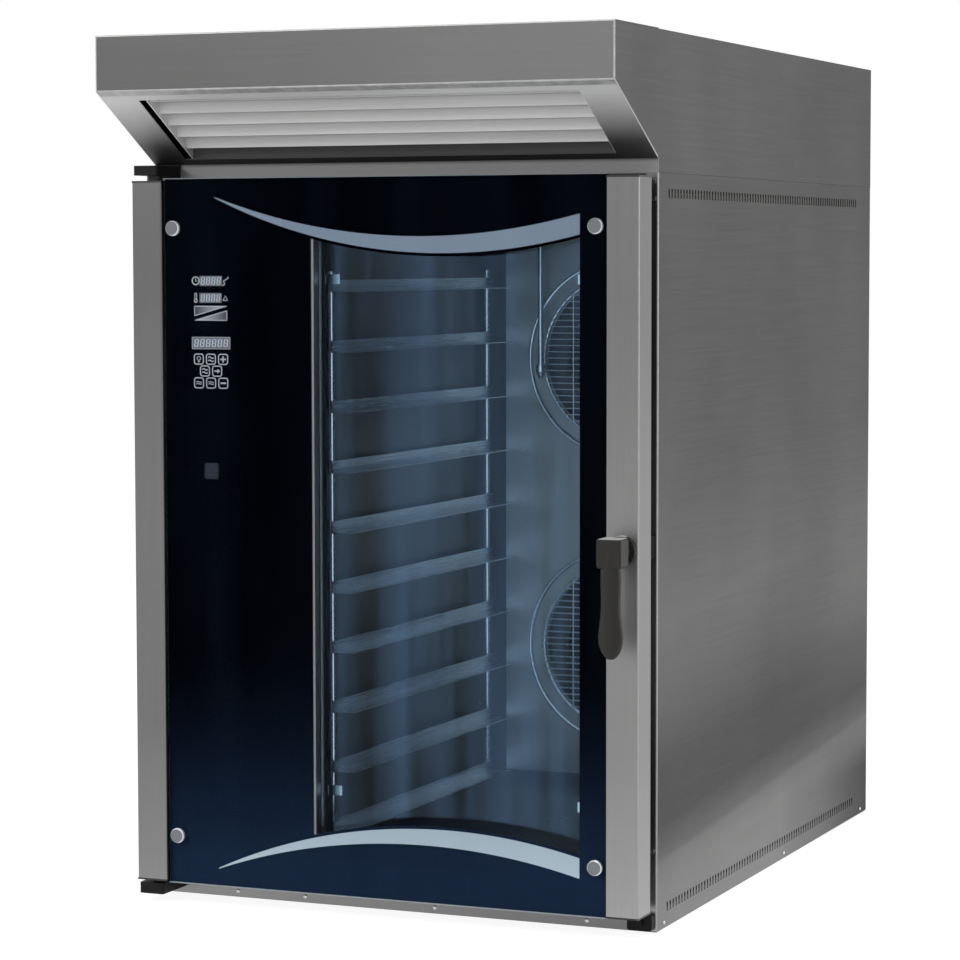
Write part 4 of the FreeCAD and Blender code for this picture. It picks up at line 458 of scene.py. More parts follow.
def pane(name, veil, index, tint, mirror):
    """Transparent by a tint, under two kinds of gloss.

    The share of tinted gloss is veil x upright wiping marks, and that of clear gloss is Fresnel."""
    material, start = blank(name)
    wipe = noise(place(start), WIPING, detail=4.0, rough=0.6)
    clear = start.make("ShaderNodeBsdfTransparent", {}, {"Color": tint})
    haze = start.make("ShaderNodeBsdfGlossy", {}, {"Color": mirror, "Roughness": HAZE_ROUGHNESS})
    gloss = start.make("ShaderNodeBsdfGlossy", {}, {"Color": grey(CLEAR_SHINE), "Roughness": CLEAR_ROUGHNESS})
    marks = veil * (1.0 + sway(wipe, STREAKS))
    wiped = start.make("ShaderNodeMixShader", {}, {0: marks, 1: clear, 2: haze})
    graze = start.make("ShaderNodeFresnel", {}, {"IOR": index})
    shader = start.make("ShaderNodeMixShader", {}, {0: graze, 1: wiped, 2: gloss})
    start.make("ShaderNodeOutputMaterial", {}, {"Surface": shader})
    return material


outer_pane = pane("outer_pane", veil=0.0022, index=1.05, tint=(0.97, 0.985, 0.99, 1.0),
                  mirror=(0.45, 0.62, 1.0, 1.0))
inner_pane = pane("inner_pane", veil=0.020, index=1.14, tint=(0.88, 0.95, 1.0, 1.0),
                  mirror=(0.34, 0.60, 1.0, 1.0))
lamp_glass = pane("lamp_glass", veil=0.010, index=1.40, tint=(0.90, 0.92, 0.92, 1.0),
                  mirror=(0.9, 0.95, 1.0, 1.0))
print("panes:", outer_pane.name, inner_pane.name)

# %% [markdown]
# ## Which finish each solid wears
# The frame's objects keep their meshes; only their material changes. It could be done by hand, object by
# object, but one table from finish to node names is easier to check than sixty lines.

# %% Dress the solids
dress = [
    (hood_steel, "hood_front hood_top"),
    (trim_steel, "base_pan door_front_frame"),
    (fascia_steel, "front_fascia"),
    (slat_steel, "hood_louvres"),
    (under_steel, "hood_underside"),
    (panel_steel, "left_side_panel right_side_panel"),
    (cheek_steel, "hood_left_cheek hood_right_cheek"),
    (stile_steel, "left_door_stile right_door_stile"),
    (rear_steel, "rear_panel top_panel electrics_plate vent_chimney flue_collar"),
    (chamber_steel, "chamber_liner door_back_pan lamp_cup"),
    (baffle_steel, "fan_baffle"),
    (outer_pane, "outer_glass"),
    (inner_pane, "inner_glass"),
    (lamp_glass, "lamp_lens"),
    (cap_steel, "glass_caps"),
    (screw_steel, "panel_screws glass_clips"),
    (keeper_steel, "latch_keeper latch_hook"),
    (rack_steel, "left_tray_rack right_tray_rack"),
    (wire_steel, "upper_fan_guard lower_fan_guard steam_pipe temperature_probe"),
    (wheel_alloy, "upper_fan_wheel lower_fan_wheel"),
    (cast_alloy, "extractor_wheel damper_flap drain_pipe"),
    (sheath, "upper_heating_element lower_heating_element"),
    (motor_paint, "upper_fan_motor lower_fan_motor extractor_motor"),
    (wool, "insulation"),
    (seal_rubber, "door_gasket"),
    (brass, "water_valve"),
    (handle_plastic, "handle_lever handle_rosette"),
    (hinge_black, "upper_hinge_bracket lower_hinge_bracket lower_right_bracket"),
    (black_plastic, "stile_end_caps control_module contactors cable_gland damper_actuator hinge_bushes"),
]
for finish, names in dress:
    for name in names.split():
        nodes[name].data.materials.clear()
        nodes[name].data.materials.append(finish)
dressed = " ".join(names for _, names in dress).split()
print("still to dress:", sorted(set(nodes) - set(dressed)))

# %% [markdown]
# ## Studio
# A pale floor and a white surround. Stronger lamps could make the background white, but they would bleach
# the oven too. So floor and surround are white only to the camera and to mirrored rays, and dimmer to the
# light that falls on the oven, and colours come out as they are written.

# %% Surround and floor
DIM = 0.5
PAPER, PAPER_GLOW, GLOW_SHARE = 0.8, 1.30, 0.7
FLOOR_HALF, FLOOR_LEVEL, FLOOR_POINTS = 14.0, -0.001, 9


def seen(start):
    """1 for camera, glossy and transmission rays, otherwise 0."""
    names = ("Camera", "Glossy", "Transmission")
    kinds = [start.make("ShaderNodeLightPath", {}, {}, f"Is {name} Ray") for name in names]
    return start.sum("MAXIMUM", start.sum("MAXIMUM", kinds[0], kinds[1]), kinds[2])


surround = bpy.data.worlds.new("studio_surround")
bpy.context.scene.world = surround
surround.use_nodes = True
surround.node_tree.nodes.clear()
sky = Link(surround.node_tree)
strength = DIM + seen(sky) * (1.0 - DIM)
light = sky.make("ShaderNodeBackground", {}, {"Color": grey(1.0), "Strength": strength})
sky.make("ShaderNodeOutputWorld", {}, {"Surface": light})

paper, start = blank("studio_paper")
matt = start.make("ShaderNodeBsdfDiffuse", {}, {"Color": grey(PAPER)})
glow = start.make("ShaderNodeEmission", {}, {"Color": grey(1.0), "Strength": PAPER_GLOW})
mixed = start.make("ShaderNodeMixShader", {}, {0: seen(start) * GLOW_SHARE, 1: matt, 2: glow})
start.make("ShaderNodeOutputMaterial", {}, {"Surface": mixed})


def quads(first, second, third, fourth):
    """Four-cornered faces from four equal arrays of point numbers."""
    return np.stack([first, second, third, fourth], axis=-1).reshape(-1, 4)


def weave(index):
    """Faces between the neighbouring rows and columns of a grid of point numbers."""
    return quads(index[:-1, :-1], index[1:, :-1], index[1:, 1:], index[:-1, 1:])


def numbered(rows, columns):
    """The point numbers of a grid, row by row."""
    return np.arange(rows * columns).reshape(rows, columns)


def stand(name, points, faces):
    """A mesh from arrays of points and faces, as an object at the origin."""
    mesh = bpy.data.meshes.new(name)
    mesh.from_pydata(points.tolist(), [], faces.tolist())
    obj = bpy.data.objects.new(name, mesh)
    bpy.context.scene.collection.objects.link(obj)
    return obj


ticks = np.linspace(-FLOOR_HALF, FLOOR_HALF, FLOOR_POINTS)
across, along = np.meshgrid(ticks, ticks, indexing="ij")
sheet = np.stack([across, along, np.full_like(across, FLOOR_LEVEL)], axis=-1)
floor = stand("studio_floor", sheet.reshape(-1, 3), weave(numbered(FLOOR_POINTS, FLOOR_POINTS)))
floor.data.materials.append(paper)
print("floor:", len(floor.data.polygons), "faces")

# %% [markdown]
# ## Lamps
# Three large soft lamps shape the oven: one from the front left, one for the right side and one from above.
# Sunlight would give hard edges, and spot lamps small hot spots in the steel. Square lamps of two to three
# metres leave only soft changes of tone.

# %% Soft lamps


def lamp(name, spot, target, size, watts):
    """A square soft lamp that faces a target: its back axis points from the target to the lamp."""
    data = bpy.data.lights.new(name, "AREA")
    data.size = size
    data.energy = watts
    obj = bpy.data.objects.new(name, data)
    back = np.array(spot, float) - np.array(target, float)
    back /= np.linalg.norm(back)
    side = np.cross(UP, back)
    side /= np.linalg.norm(side)
    turned = np.eye(4)
    turned[:3] = np.stack([side, np.cross(back, side), back, spot], axis=1)
    obj.matrix_world = Matrix(turned.tolist())
    bpy.context.scene.collection.objects.link(obj)


lamp("key_lamp", spot=(-3.2, -4.2, 3.8), target=(0.0, -0.4, 0.7), size=2.4, watts=120.0)
lamp("side_lamp", spot=(4.6, 1.6, 1.2), target=(0.4, 0.2, 0.5), size=2.2, watts=60.0)
lamp("top_lamp", spot=(0.5, -0.5, 4.6), target=(0.0, 0.0, 1.2), size=3.0, watts=60.0)

# %% [markdown]
# ## Thin plates from grids
# Everything printed behind the door glass is a flat shape: a frame, two crescents, digits, key outlines. A
# text or curve object could make some of them, but one helper makes all of them: a grid of points is the
# front, the same grid a little deeper is the back, and walls close the rim, so each print is a closed
# plate. Grids that run round, such as a ring, are joined to their own first row. The prints lie in three thin
# layers just in front of the pane's rear face.

# %% Closed plates and finished pieces
LAYER_STEP, LAYER_FRONT, LAYER_REAR = 0.4, 0.5, 0.2
MERGE = 1e-6
pane_low, pane_high = [np.array(corner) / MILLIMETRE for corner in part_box("outer_glass")]


def layer(number):
    """The front and rear of a layer of print, counted forwards from the pane's rear face."""
    return [pane_high[1] - gap - LAYER_STEP * number for gap in (LAYER_FRONT, LAYER_REAR)]


PRINT_DEPTH, INK_DEPTH, FIGURE_DEPTH = layer(0), layer(1), layer(2)


def plate(flat, depth, closed=False):
    """A closed plate: the (x, z) grid at the first depth, again at the second, and walls along its rim."""
    rows, columns = flat.shape[:2]
    layers = [np.stack([flat[..., 0], np.full((rows, columns), y), flat[..., 1]], axis=-1) for y in depth]
    front = numbered(rows, columns)
    front = np.vstack([front, front[:1]]) if closed else front
    back = front + rows * columns
    faces = [
        weave(front),
        quads(back[:-1, :-1], back[:-1, 1:], back[1:, 1:], back[1:, :-1]),
        quads(front[:-1, 0], back[:-1, 0], back[1:, 0], front[1:, 0]),
        quads(front[:-1, -1], front[1:, -1], back[1:, -1], back[:-1, -1]),
    ]
    if not closed:
        faces.append(quads(front[0, :-1], front[0, 1:], back[0, 1:], back[0, :-1]))
        faces.append(quads(front[-1, :-1], back[-1, :-1], back[-1, 1:], front[-1, 1:]))
    return np.concatenate([layer.reshape(-1, 3) for layer in layers]) * MILLIMETRE, np.concatenate(faces)


def piece(name, shapes, finish, body):
    """Several closed shapes as one object, with doubled points merged and faces turned outwards."""
    counts = np.cumsum([0] + [len(points) for points, _ in shapes])
    points = np.concatenate([points for points, _ in shapes])
    faces = np.concatenate([faces + start for (_, faces), start in zip(shapes, counts)])
    obj = stand(name, points, faces)
    shell = bmesh.new()
    shell.from_mesh(obj.data)
    bmesh.ops.remove_doubles(shell, verts=shell.verts, dist=MERGE)
    bmesh.ops.recalc_face_normals(shell, faces=shell.faces)
    shell.to_mesh(obj.data)
    shell.free()
    obj.data.materials.append(finish)
    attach(obj, body)
    print(name, len(obj.data.vertices), "points")
    return obj


print("layers of print, in millimetres:", np.round([PRINT_DEPTH, INK_DEPTH, FIGURE_DEPTH], 2).tolist())

# %% [markdown]
# ## Lines, bars and rings
# The prints need a few drawing words: a bar, a line of even width, a rounded outline and a ring. Blender's
# curves could draw them with a bevel, but here each one is just two lines of points with a plate between.

# %% Drawing words


def between(first, second):
    """A two-row grid from one line of (x, z) points to another."""
    return np.stack([np.asarray(first, float), np.asarray(second, float)], axis=1)


def box_plate(low_x, high_x, low_z, high_z, depth):
    """A rectangular plate."""
    return plate(between([(low_x, low_z), (high_x, low_z)], [(low_x, high_z), (high_x, high_z)]), depth)


def rounded_path(centre, size, corner, steps=7):
    """The outline of a rectangle whose corners are quarter circles: corner centre + radius x (cos, sin)."""
    turn = np.linspace(0.0, math.pi / 2, steps)
    quarter = np.arange(4)[:, None] * (math.pi / 2) + turn
    signs = np.array([(1, 1), (-1, 1), (-1, -1), (1, -1)], float)
    middles = signs * (np.array(size) / 2 - corner)
    arcs = middles[:, None] + corner * np.stack([np.cos(quarter), np.sin(quarter)], axis=-1)
    return arcs.reshape(-1, 2) + np.array(centre)


def outline(centre, size, corner, width, depth, sharpest=0.2):
    """A rounded outline: the band between the path and the same path drawn in by the line's width."""
    inner = rounded_path(centre, np.array(size) - 2 * width, max(corner - width, sharpest))
    return plate(between(rounded_path(centre, size, corner), inner), depth, True)


def stroke(path, width, depth):
    """A line of even width: each point of the path moved half the width to both sides, square to it."""
    path = np.asarray(path, float)
    way = np.gradient(path, axis=0)
    way /= np.linalg.norm(way, axis=1, keepdims=True)
    side = np.stack([-way[:, 1], way[:, 0]], axis=1) * (width / 2)
    return plate(between(path + side, path - side), depth)


def straight(start, end, width, depth):
    """A straight stroke, with one point halfway."""
    return stroke(np.linspace(start, end, 3), width, depth)


def ring(centre, radius, width, depth, steps=40):
    """A flat ring: a circle, and the same circle drawn in by the line's width."""
    turn = np.linspace(0.0, 2 * math.pi, steps, endpoint=False)
    circle = np.stack([np.cos(turn), np.sin(turn)], axis=1)
    return plate(between(circle * radius, circle * (radius - width)) + np.array(centre), depth, True)


print("a ring has", len(ring((0.0, 0.0), 3.0, 1.0, INK_DEPTH)[0]), "points")

# %% [markdown]
# ## Fired enamel
# Print on oven glass is enamel that is fired onto it, smooth and dull behind the pane. It could be one flat
# colour, but it pales towards the foot of the door, a painted reflection of the floor, and has wiping marks
# and a little dust, so three slow and fast changes are added up. It lies against the glass, where only the
# pane shines, so its own gloss is off.

# %% Enamel finishes
DUST = 420.0
ENAMEL_WIPING = (4.0, 4.0, 2.0)
FADE_FROM, FADE_OVER = 0.46, 0.40
FADE_SHARE, WIPE_SHARE, DUST_SHARE = 1.1, 0.3, 0.12
WIPE_DULLS = 0.2


def enamel(name, colour, pale, rough, metal=0.0):
    """A colour with a painted reflection, pale by the square of the way down to the door's foot, +- wiping +-
    dust.
    """
    material, start = blank(name)
    spot = place(start)
    dust = noise(spot, DUST, detail=2.0, rough=0.5)
    wipe = noise(spot, ENAMEL_WIPING, detail=4.0, rough=0.6)
    # Painted reflection: the colour pales towards the foot of the door.
    low = past(spot, DOWN, -FADE_FROM, FADE_OVER)
    faint = low * low * FADE_SHARE + sway(wipe, WIPE_SHARE) + sway(dust, DUST_SHARE)
    sockets = {"Base Color": blend(faint, colour, pale), "Roughness": rough + sway(wipe, WIPE_DULLS)}
    sockets["Metallic"] = metal
    sockets["Specular IOR Level"] = 0.0
    surface(start, sockets)
    return material


print_enamel = enamel("dark_print_enamel", (0.0001, 0.0003, 0.0012, 1), (0.0120, 0.0260, 0.0600, 1), 0.45)
silver_enamel = enamel("silver_print", (0.19, 0.24, 0.31, 1), (0.44, 0.53, 0.60, 1), 0.30, 0.75)
ink_enamel = enamel("pale_key_print", (0.52, 0.54, 0.60, 1), (0.60, 0.62, 0.68, 1), 0.5)
print("enamels:", print_enamel.name, silver_enamel.name, ink_enamel.name)

# %% [markdown]
# ## The dark print and the silver crescents
# The door glass carries a dark enamel all over except the window, and two silver crescents whose edges are
# circle arcs of different radius. A mask in the glass shader could draw this, but then light would need to
# know the mask too. As plates the print blocks the view by itself. The print is one ring-shaped grid: its
# inner rim is the window's outline with the arc edges, its outer rim the pane's.

# %% Print round the window
PRINT_MIDDLE = 615.0
WINDOW_LEFT, WINDOW_RIGHT = -123.0, 341.0
ARC_OUTER = {"centre": 71.5, "radius": 1073.0, "apex": 488.6}
ARC_INNER = {"centre": 108.8, "radius": 954.0, "apex": 461.6}
UNDER_CRESCENT = 5.0
STILE_GAP, RIM_GAP = 0.6, 0.4
walk = np.linspace(0.0, 1.0, 41)


def arc_height(x, centre, radius, apex):
    """A circle arc that bows towards the print's middle, as a height over that middle.

    The height is apex + radius - square root of (radius^2 - (x - centre)^2)."""
    return apex + radius - np.sqrt(radius ** 2 - (x - centre) ** 2)


def line(start, end):
    """Points from one corner to the next, as many as the arcs have."""
    return np.array(start) + (np.array(end) - np.array(start)) * walk[:, None]


def loop(low, high):
    """A closed outline: along the low edge, up, back along the high edge and down."""
    up = line(low[-1], high[-1])
    down = line(high[0], low[0])
    return np.concatenate([low[:-1], up[:-1], high[::-1][:-1], down[:-1]])


window_x = WINDOW_LEFT + (WINDOW_RIGHT - WINDOW_LEFT) * walk
half_height = arc_height(window_x, **ARC_INNER) - UNDER_CRESCENT
low_edge, top_edge = [np.stack([window_x, PRINT_MIDDLE + way * half_height], axis=1) for way in (-1, 1)]
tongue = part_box("right_door_stile")[0][0] / MILLIMETRE - STILE_GAP
rim_low, rim_high = pane_low[2] + RIM_GAP, pane_high[2] - RIM_GAP
outer_rim = loop(line((-tongue, rim_low), (tongue, rim_low)), line((-tongue, rim_high), (tongue, rim_high)))
frame_plate = plate(between(outer_rim, loop(low_edge, top_edge)), PRINT_DEPTH, True)
piece("dark_print", [frame_plate], print_enamel, "door")

# %% [markdown]
# ## Two crescents
# Each crescent is the field between two arcs that meet in a point at the left and end square at the window's
# right edge. Cutting one disc from another would do it too, but would leave a long thin tip of bad faces. A
# grid between the two arcs runs cleanly into the tip.

# %% Silver crescents
CRESCENT_TIP = -297.5
TIP_WIDTH = 0.3
crescent_x = np.linspace(CRESCENT_TIP, WINDOW_RIGHT, 81)
outer_arc = arc_height(crescent_x, **ARC_OUTER)
inner_arc = np.minimum(arc_height(crescent_x, **ARC_INNER), outer_arc - TIP_WIDTH)
for name, side in (("upper_crescent", 1.0), ("lower_crescent", -1.0)):
    arcs = [np.stack([crescent_x, PRINT_MIDDLE + side * arc], axis=1) for arc in (outer_arc, inner_arc)]
    piece(name, [plate(between(*arcs), INK_DEPTH)], silver_enamel, "door")

# %% [markdown]
# ## Ground edges of the pane
# The cut edges of the door glass are ground matt and catch the light as thin pale lines above and below the
# dark print. The pane's own finish could change near its rim, but a clear pane shows no colour there. A strip
# nearly as thick as the pane, just inside each edge, does.

# %% Ground edges
EDGE_NEAR, EDGE_FAR = 0.2, 1.3
EDGE_FRONT, EDGE_REAR = 0.1, 0.6
frosted = enamel("ground_glass_edge", (0.34, 0.38, 0.42, 1), (0.50, 0.54, 0.58, 1), 0.7)
strips = [
    (pane_high[2] - EDGE_FAR, pane_high[2] - EDGE_NEAR),
    (pane_low[2] + EDGE_NEAR, pane_low[2] + EDGE_FAR),
]
edge_depth = (pane_low[1] + EDGE_FRONT, PRINT_DEPTH[0] - EDGE_REAR)
ground = [box_plate(-tongue, tongue, low, high, edge_depth) for low, high in strips]
piece("ground_edges", ground, frosted, "door")

# %% [markdown]
# ## Number displays
# Behind the dark print sit three number displays. A font could write the figures, but on the real thing each
# digit is seven slanted bars, so one array of bars, shifted and sheared for every digit, makes a whole
# display. Their glass is faintly lit.

# %% Displays
BARS = np.array([
    (0.12, 0.94, 0.88, 1.00), (0.12, 0.47, 0.88, 0.53), (0.12, 0.00, 0.88, 0.06),
    (0.00, 0.55, 0.16, 0.95), (0.84, 0.55, 1.00, 0.95), (0.00, 0.05, 0.16, 0.45), (0.84, 0.05, 1.00, 0.45),
])
DISPLAYS = {
    "time": (-325.5, -284.2, 1024.0, 1040.3, 4),
    "heat": (-325.7, -285.0, 996.4, 1012.4, 4),
    "programme": (-338.6, -271.4, 922.2, 939.0, 6),
}
MARGIN_LEFT, MARGIN_RIGHT, MARGIN_HIGH = 1.5, 1.0, 2.4
CELL_START, CELL_FILL, CELL_SLANT = 0.17, 0.66, 0.12
RASTER, RASTER_GAIN = 900.0, 1.5


def digits(low_x, high_x, low_z, high_z, count):
    """Seven-bar figures in a row: unit bars scaled to a cell, sheared by their height, cell after cell."""
    cell = (high_x - low_x) / count
    tall = high_z - low_z
    left, low, right, high = (BARS[:, i, None] for i in range(4))
    starts = low_x + cell * (np.arange(count) + CELL_START)
    corners = []
    for across, up in ((left, low), (right, low), (left, high), (right, high)):
        x = starts + across * (cell * CELL_FILL) + (up - 0.5) * tall * CELL_SLANT
        corners.append(np.stack([x, np.broadcast_to(low_z + up * tall, x.shape)], axis=-1).reshape(-1, 2))
    return [plate(np.array([[a, b], [c, d]]), FIGURE_DEPTH) for a, b, c, d in zip(*corners)]


def lit(name, colour, strength):
    """Faintly lit display glass with a fine raster across it: colour x (1 to 1.5 by noise)."""
    material, start = blank(name)
    raster = noise(place(start), RASTER, detail=1.0, rough=0.4)
    tone = blend(raster, grey(1.0, colour), grey(RASTER_GAIN, colour))
    sockets = {"Base Color": tone, "Roughness": 0.35, "Emission Color": tone, "Emission Strength": strength}
    surface(start, sockets)
    return material


window_glow = lit("display_window", (0.085, 0.095, 0.115), 0.3)
figure_glow = lit("display_figures", (0.36, 0.40, 0.45), 0.4)
windows, figures = [], []
for low_x, high_x, low_z, high_z, count in DISPLAYS.values():
    windows.append(box_plate(low_x, high_x, low_z, high_z, INK_DEPTH))
    figures += digits(low_x + MARGIN_LEFT, high_x - MARGIN_RIGHT, low_z + MARGIN_HIGH, high_z - MARGIN_HIGH,
                      count)
piece("display_windows", windows, window_glow, "door")
piece("display_figures", figures, figure_glow, "door")

# %% [markdown]
# ## Touch keys
# Eight rounded outlines in pale ink are the keys, with simple signs in them: waves, a plus, a minus, an arrow
# and a lamp. A symbol font could draw them, but bars and strokes that are set from the middle of their key
# stay in it when the key moves.

# %% Key outlines and their signs
KEY_ROWS = [
    (904.2, {"lamp": -327.8, "steam": -305.6, "plus": -283.2}),
    (884.8, {"vent": -316.6, "start": -294.2}),
    (865.2, {"slow_fan": -327.8, "fast_fan": -305.5, "minus": -283.1}),
]
KEY_SIZE, KEY_CORNER, KEY_LINE = (18.2, 18.2), 4.6, 1.7
ARM, HALF_BAR, HALF_SHAFT = 5.0, 1.3, 1.1
ARROW_HEAD = np.array([[(0.5, -3.6), (5.5, -0.1)], [(0.5, 3.6), (5.5, 0.1)]])
LAMP_UP, LAMP_RADIUS, LAMP_LINE, LAMP_FOOT = 1.2, 3.6, 1.1, (-1.6, 1.6, -5.0, -3.0)
swing = np.linspace(0.0, 1.0, 25)
keys = {name: np.array([x, z]) for z, row in KEY_ROWS for name, x in row.items()}


def waves(name, width, rise, thickness, lift):
    """Two sine waves in a key, one above the other: height = +-lift + rise x sine of one whole turn."""
    curve = np.stack([(swing - 0.5) * width, rise * np.sin(2 * math.pi * swing)], axis=1) + keys[name]
    return [stroke(curve + (0.0, way * lift), thickness, INK_DEPTH) for way in (1, -1)]


def bar(name, left, right, low, high):
    """A rectangle set from the middle of its key."""
    x, z = keys[name]
    return box_plate(x + left, x + right, z + low, z + high, INK_DEPTH)


ink = [outline(key, KEY_SIZE, KEY_CORNER, KEY_LINE, INK_DEPTH) for key in keys.values()]
for name in ("steam", "vent"):
    ink += waves(name, width=10.0, rise=1.1, thickness=1.7, lift=2.6)
for name in ("slow_fan", "fast_fan"):
    ink += waves(name, width=9.5, rise=0.5, thickness=1.3, lift=1.6)
ink += [bar(name, -ARM, ARM, -HALF_BAR, HALF_BAR) for name in ("plus", "minus")]
ink.append(bar("plus", -HALF_BAR, HALF_BAR, HALF_BAR, ARM))
ink.append(bar("plus", -HALF_BAR, HALF_BAR, -ARM, -HALF_BAR))
ink.append(bar("start", -ARM, ARROW_HEAD[0, 0, 0], -HALF_SHAFT, HALF_SHAFT))
ink.append(plate(ARROW_HEAD + keys["start"], INK_DEPTH))
ink.append(ring(keys["lamp"] + (0.0, LAMP_UP), LAMP_RADIUS, LAMP_LINE, INK_DEPTH))
ink.append(bar("lamp", *LAMP_FOOT))
print("keys:", list(keys))

# %% [markdown]
# ## Signs beside the displays
# A clock and a thermometer say what the two upper displays show, with a curled probe lead and a small tent
# at their right, and a thin line frames the lowest display. They are drawn with the same words as the keys.

# %% Clock, thermometer, lead and tent
SIGN_LINE = 1.2
CLOCK, CLOCK_RADIUS, CLOCK_LINE = np.array([-332.6, 1032.4]), 7.2, 1.8
HAND_LONG, HAND_SHORT, HAND_TAIL = 4.2, 3.0, 0.6
BULB, BULB_RADIUS, BULB_LINE = (-332.6, 999.8), 3.4, 1.8
TUBE, TUBE_SIZE, TUBE_CORNER = (-332.6, 1007.4), (4.4, 10.4), 1.8
LEAD, LEAD_SIZE, LEAD_SWAY, LEAD_LINE = (-283.5, 1024.6), (9.5, 14.5), 2.4, 1.4
TENT, TENT_HALF, TENT_TALL = np.array([-278.4, 1000.6]), 4.2, 7.4
TENT_FOOT = (-0.8, 0.4)
FRAME_GAP, FRAME_CORNER, FRAME_LINE = 1.5, 0.8, 0.9

ink.append(ring(CLOCK, CLOCK_RADIUS, CLOCK_LINE, INK_DEPTH))
hand_turn = CLOCK + (0.0, -HAND_TAIL)
ink.append(straight(CLOCK + (0.0, HAND_LONG), hand_turn, SIGN_LINE, INK_DEPTH))
ink.append(straight(hand_turn - (HAND_TAIL, 0.0), hand_turn + (HAND_SHORT, 0.0), SIGN_LINE, INK_DEPTH))
ink.append(ring(BULB, BULB_RADIUS, BULB_LINE, INK_DEPTH))
ink.append(outline(TUBE, TUBE_SIZE, TUBE_CORNER, SIGN_LINE, INK_DEPTH))
curl = np.linspace(0.0, 1.0, 31)
lead_x = LEAD[0] + LEAD_SIZE[0] * curl + LEAD_SWAY * np.sin(3 * math.pi * curl)
ink.append(stroke(np.stack([lead_x, LEAD[1] + LEAD_SIZE[1] * curl], axis=1), LEAD_LINE, INK_DEPTH))
tent_path = [TENT + (-TENT_HALF, 0.0), TENT + (0.0, TENT_TALL), TENT + (TENT_HALF, 0.0)]
ink.append(stroke(tent_path, SIGN_LINE, INK_DEPTH))
tent_low, tent_high = TENT[1] + np.array(TENT_FOOT)
ink.append(box_plate(TENT[0] - TENT_HALF, TENT[0] + TENT_HALF, tent_low, tent_high, INK_DEPTH))
low_x, high_x, low_z, high_z, _ = DISPLAYS["programme"]
frame_middle = ((low_x + high_x) / 2, (low_z + high_z) / 2)
frame_size = (high_x - low_x + 2 * FRAME_GAP, high_z - low_z + 2 * FRAME_GAP)
ink.append(outline(frame_middle, frame_size, FRAME_CORNER, FRAME_LINE, INK_DEPTH))
piece("key_print", ink, ink_enamel, "door")

# %% [markdown]
# ## The power wedges
# Two wedges show rising and falling power. Their fill fades from dark to pale along the wedge. A gradient in
# Object coordinates could do it for one wedge, but the two run in opposite ways. So each point of the grid
# carries its own tone in an attribute that the shader reads.

# %% Wedges with a faded fill
WEDGE_LEFT, WEDGE_RIGHT = -335.2, -275.0
WEDGE_RISE = 16.2
UPPER_TOP, UPPER_LOW = 991.4, 974.8
LOWER_START, LOWER_LOW = 967.8, 967.4
DOTS, LEAST_DOT, DOT_SPREAD = 700.0, 0.85, 0.3
DARK_FILL, PALE_FILL = (0.006, 0.008, 0.016, 1.0), (0.52, 0.54, 0.60, 1.0)
run = np.linspace(0.0, 1.0, 25)


def faded(name):
    """A print whose brightness is the attribute called fade, with fine dots."""
    material, start = blank(name)
    fade = start.make("ShaderNodeAttribute", {"attribute_name": "fade"}, {}, "Fac")
    dots = noise(place(start), DOTS, detail=1.0, rough=0.4)
    tone = blend(fade * (LEAST_DOT + dots * DOT_SPREAD), DARK_FILL, PALE_FILL)
    surface(start, {"Base Color": tone, "Roughness": 0.5})
    return material


def wedge(level, slope):
    """The field between a level line and one that rises to the right."""
    x = WEDGE_LEFT + (WEDGE_RIGHT - WEDGE_LEFT) * run
    return plate(between(np.stack([x, np.full_like(x, level)], axis=1),
                         np.stack([x, slope + WEDGE_RISE * run], axis=1)), INK_DEPTH)


fields = [wedge(UPPER_TOP, UPPER_LOW), wedge(LOWER_LOW, LOWER_START)]
wedges = piece("power_wedges", fields, faded("wedge_print"), "door")
spots = np.zeros(3 * len(wedges.data.vertices))
wedges.data.vertices.foreach_get("co", spots)
share = (spots[0::3] / MILLIMETRE - WEDGE_LEFT) / (WEDGE_RIGHT - WEDGE_LEFT)
divide = (UPPER_LOW + LOWER_START) / 2 + WEDGE_RISE * share
fade = np.where(spots[2::3] / MILLIMETRE > divide, share, 1.0 - share)
wedges.data.attributes.new("fade", "FLOAT", "POINT").data.foreach_set("value", fade.astype(np.float32))

# %% [markdown]
# ## Lines round the wedges
# Each wedge has a thin pale line along its three sides. The fill could be given a border in its shader, but
# straight strokes one layer further forward stay crisp from close by.

# %% Wedge lines
WEDGE_LINE, HALF_LINE = 1.3, 0.6
LEVEL_SHORT, SLOPE_SHORT = 3.0, 2.0
SLOPE_IN, SLOPE_DROP = 1.0, 0.7
top_line, foot_line = UPPER_TOP - HALF_LINE, LOWER_LOW + HALF_LINE
left_line, right_line = WEDGE_LEFT + HALF_LINE, WEDGE_RIGHT - HALF_LINE
lower_top = LOWER_START + WEDGE_RISE
wedge_ends = [
    ((WEDGE_LEFT, top_line), (WEDGE_RIGHT - LEVEL_SHORT, top_line)),
    ((left_line, UPPER_TOP), (left_line, UPPER_LOW)),
    ((WEDGE_LEFT + SLOPE_IN, UPPER_LOW + SLOPE_DROP), (WEDGE_RIGHT - SLOPE_SHORT, top_line)),
    ((WEDGE_LEFT + LEVEL_SHORT, foot_line), (WEDGE_RIGHT, foot_line)),
    ((right_line, LOWER_LOW), (right_line, lower_top)),
    ((WEDGE_LEFT + SLOPE_SHORT, foot_line), (WEDGE_RIGHT - SLOPE_IN, lower_top - SLOPE_DROP)),
]
wedge_lines = [straight(start, end, WEDGE_LINE, FIGURE_DEPTH) for start, end in wedge_ends]
piece("wedge_edges", wedge_lines, ink_enamel, "door")

# %% [markdown]
# ## A bare patch under the keys
# Lower on the print is a small square field of grey film with nothing on it. A flat cube would do, but the
# film's corners are round, so its grid runs from the rounded outline to the middle.

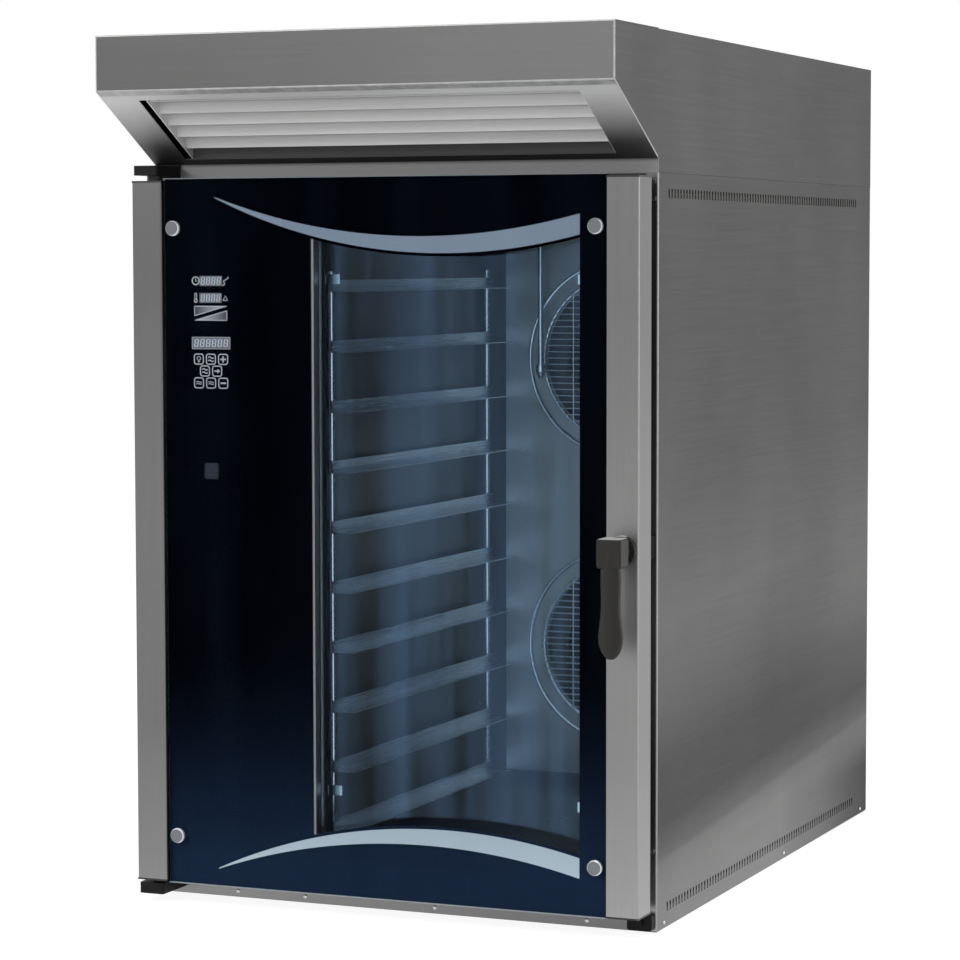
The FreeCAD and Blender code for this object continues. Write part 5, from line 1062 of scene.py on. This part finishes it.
# %% Grey film patch
PATCH, PATCH_SIZE, PATCH_CORNER = (-306.0, 720.7), (25.0, 26.0), 3.0
film = enamel("grey_film", (0.035, 0.042, 0.060, 1), (0.060, 0.070, 0.095, 1), 0.5)
patch_rim = rounded_path(PATCH, PATCH_SIZE, PATCH_CORNER)
patch = plate(between(patch_rim, np.broadcast_to([PATCH], patch_rim.shape)), INK_DEPTH, True)
piece("film_patch", [patch], film, "door")

# %% [markdown]
# ## Small screws
# Button-head screws hold the base strip and the side panels. A screw head is a surface of revolution: a dome
# profile turned about its axis. A cylinder with a boolean cut for the recess would work, but the recess is
# part of the same profile, so the head needs no boolean. Each head sits on the face of its solid.

# %% Screws
HEAD_PROFILE = np.array([(0.0, 0.30), (0.34, 0.30), (0.38, 0.50), (0.62, 0.46), (0.86, 0.30), (1.0, 0.10),
                         (1.0, 0.0), (0.0, 0.0)])
HEAD_STEPS = 24
SCREW_HEIGHT = 10.0
STRIP_SCREWS, STRIP_RADIUS = (-300.0, -175.0, 60.0, 326.0), 3.6
SIDE_SCREWS, SIDE_RADIUS = (-570.0, 70.0, 560.0), 3.2


def screw(centre, axis, way, radius):
    """A turned head, closed behind: distance x (cos, sin) across the axis and height along it, by radius."""
    turn = np.linspace(0.0, 2 * math.pi, HEAD_STEPS, endpoint=False)
    out, first, second = np.roll(np.eye(3), -axis, axis=0)
    circle = np.cos(turn)[:, None] * first + np.sin(turn)[:, None] * second
    distance, height = (HEAD_PROFILE * radius).T[:, None, :, None]
    points = circle[:, None] * distance + out * way * height
    index = numbered(*points.shape[:2])
    return (points.reshape(-1, 3) + np.array(centre)) * MILLIMETRE, weave(np.vstack([index, index[:1]]))


strip_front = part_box("base_pan")[0][1] / MILLIMETRE
side_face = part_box("right_side_panel")[1][0] / MILLIMETRE
heads = [screw((x, strip_front, SCREW_HEIGHT), 1, -1.0, STRIP_RADIUS) for x in STRIP_SCREWS]
for way in (1.0, -1.0):
    heads += [screw((way * side_face, y, SCREW_HEIGHT), 0, way, SIDE_RADIUS) for y in SIDE_SCREWS]
piece("base_screws", heads, screw_steel, "cabinet")

# %% [markdown]
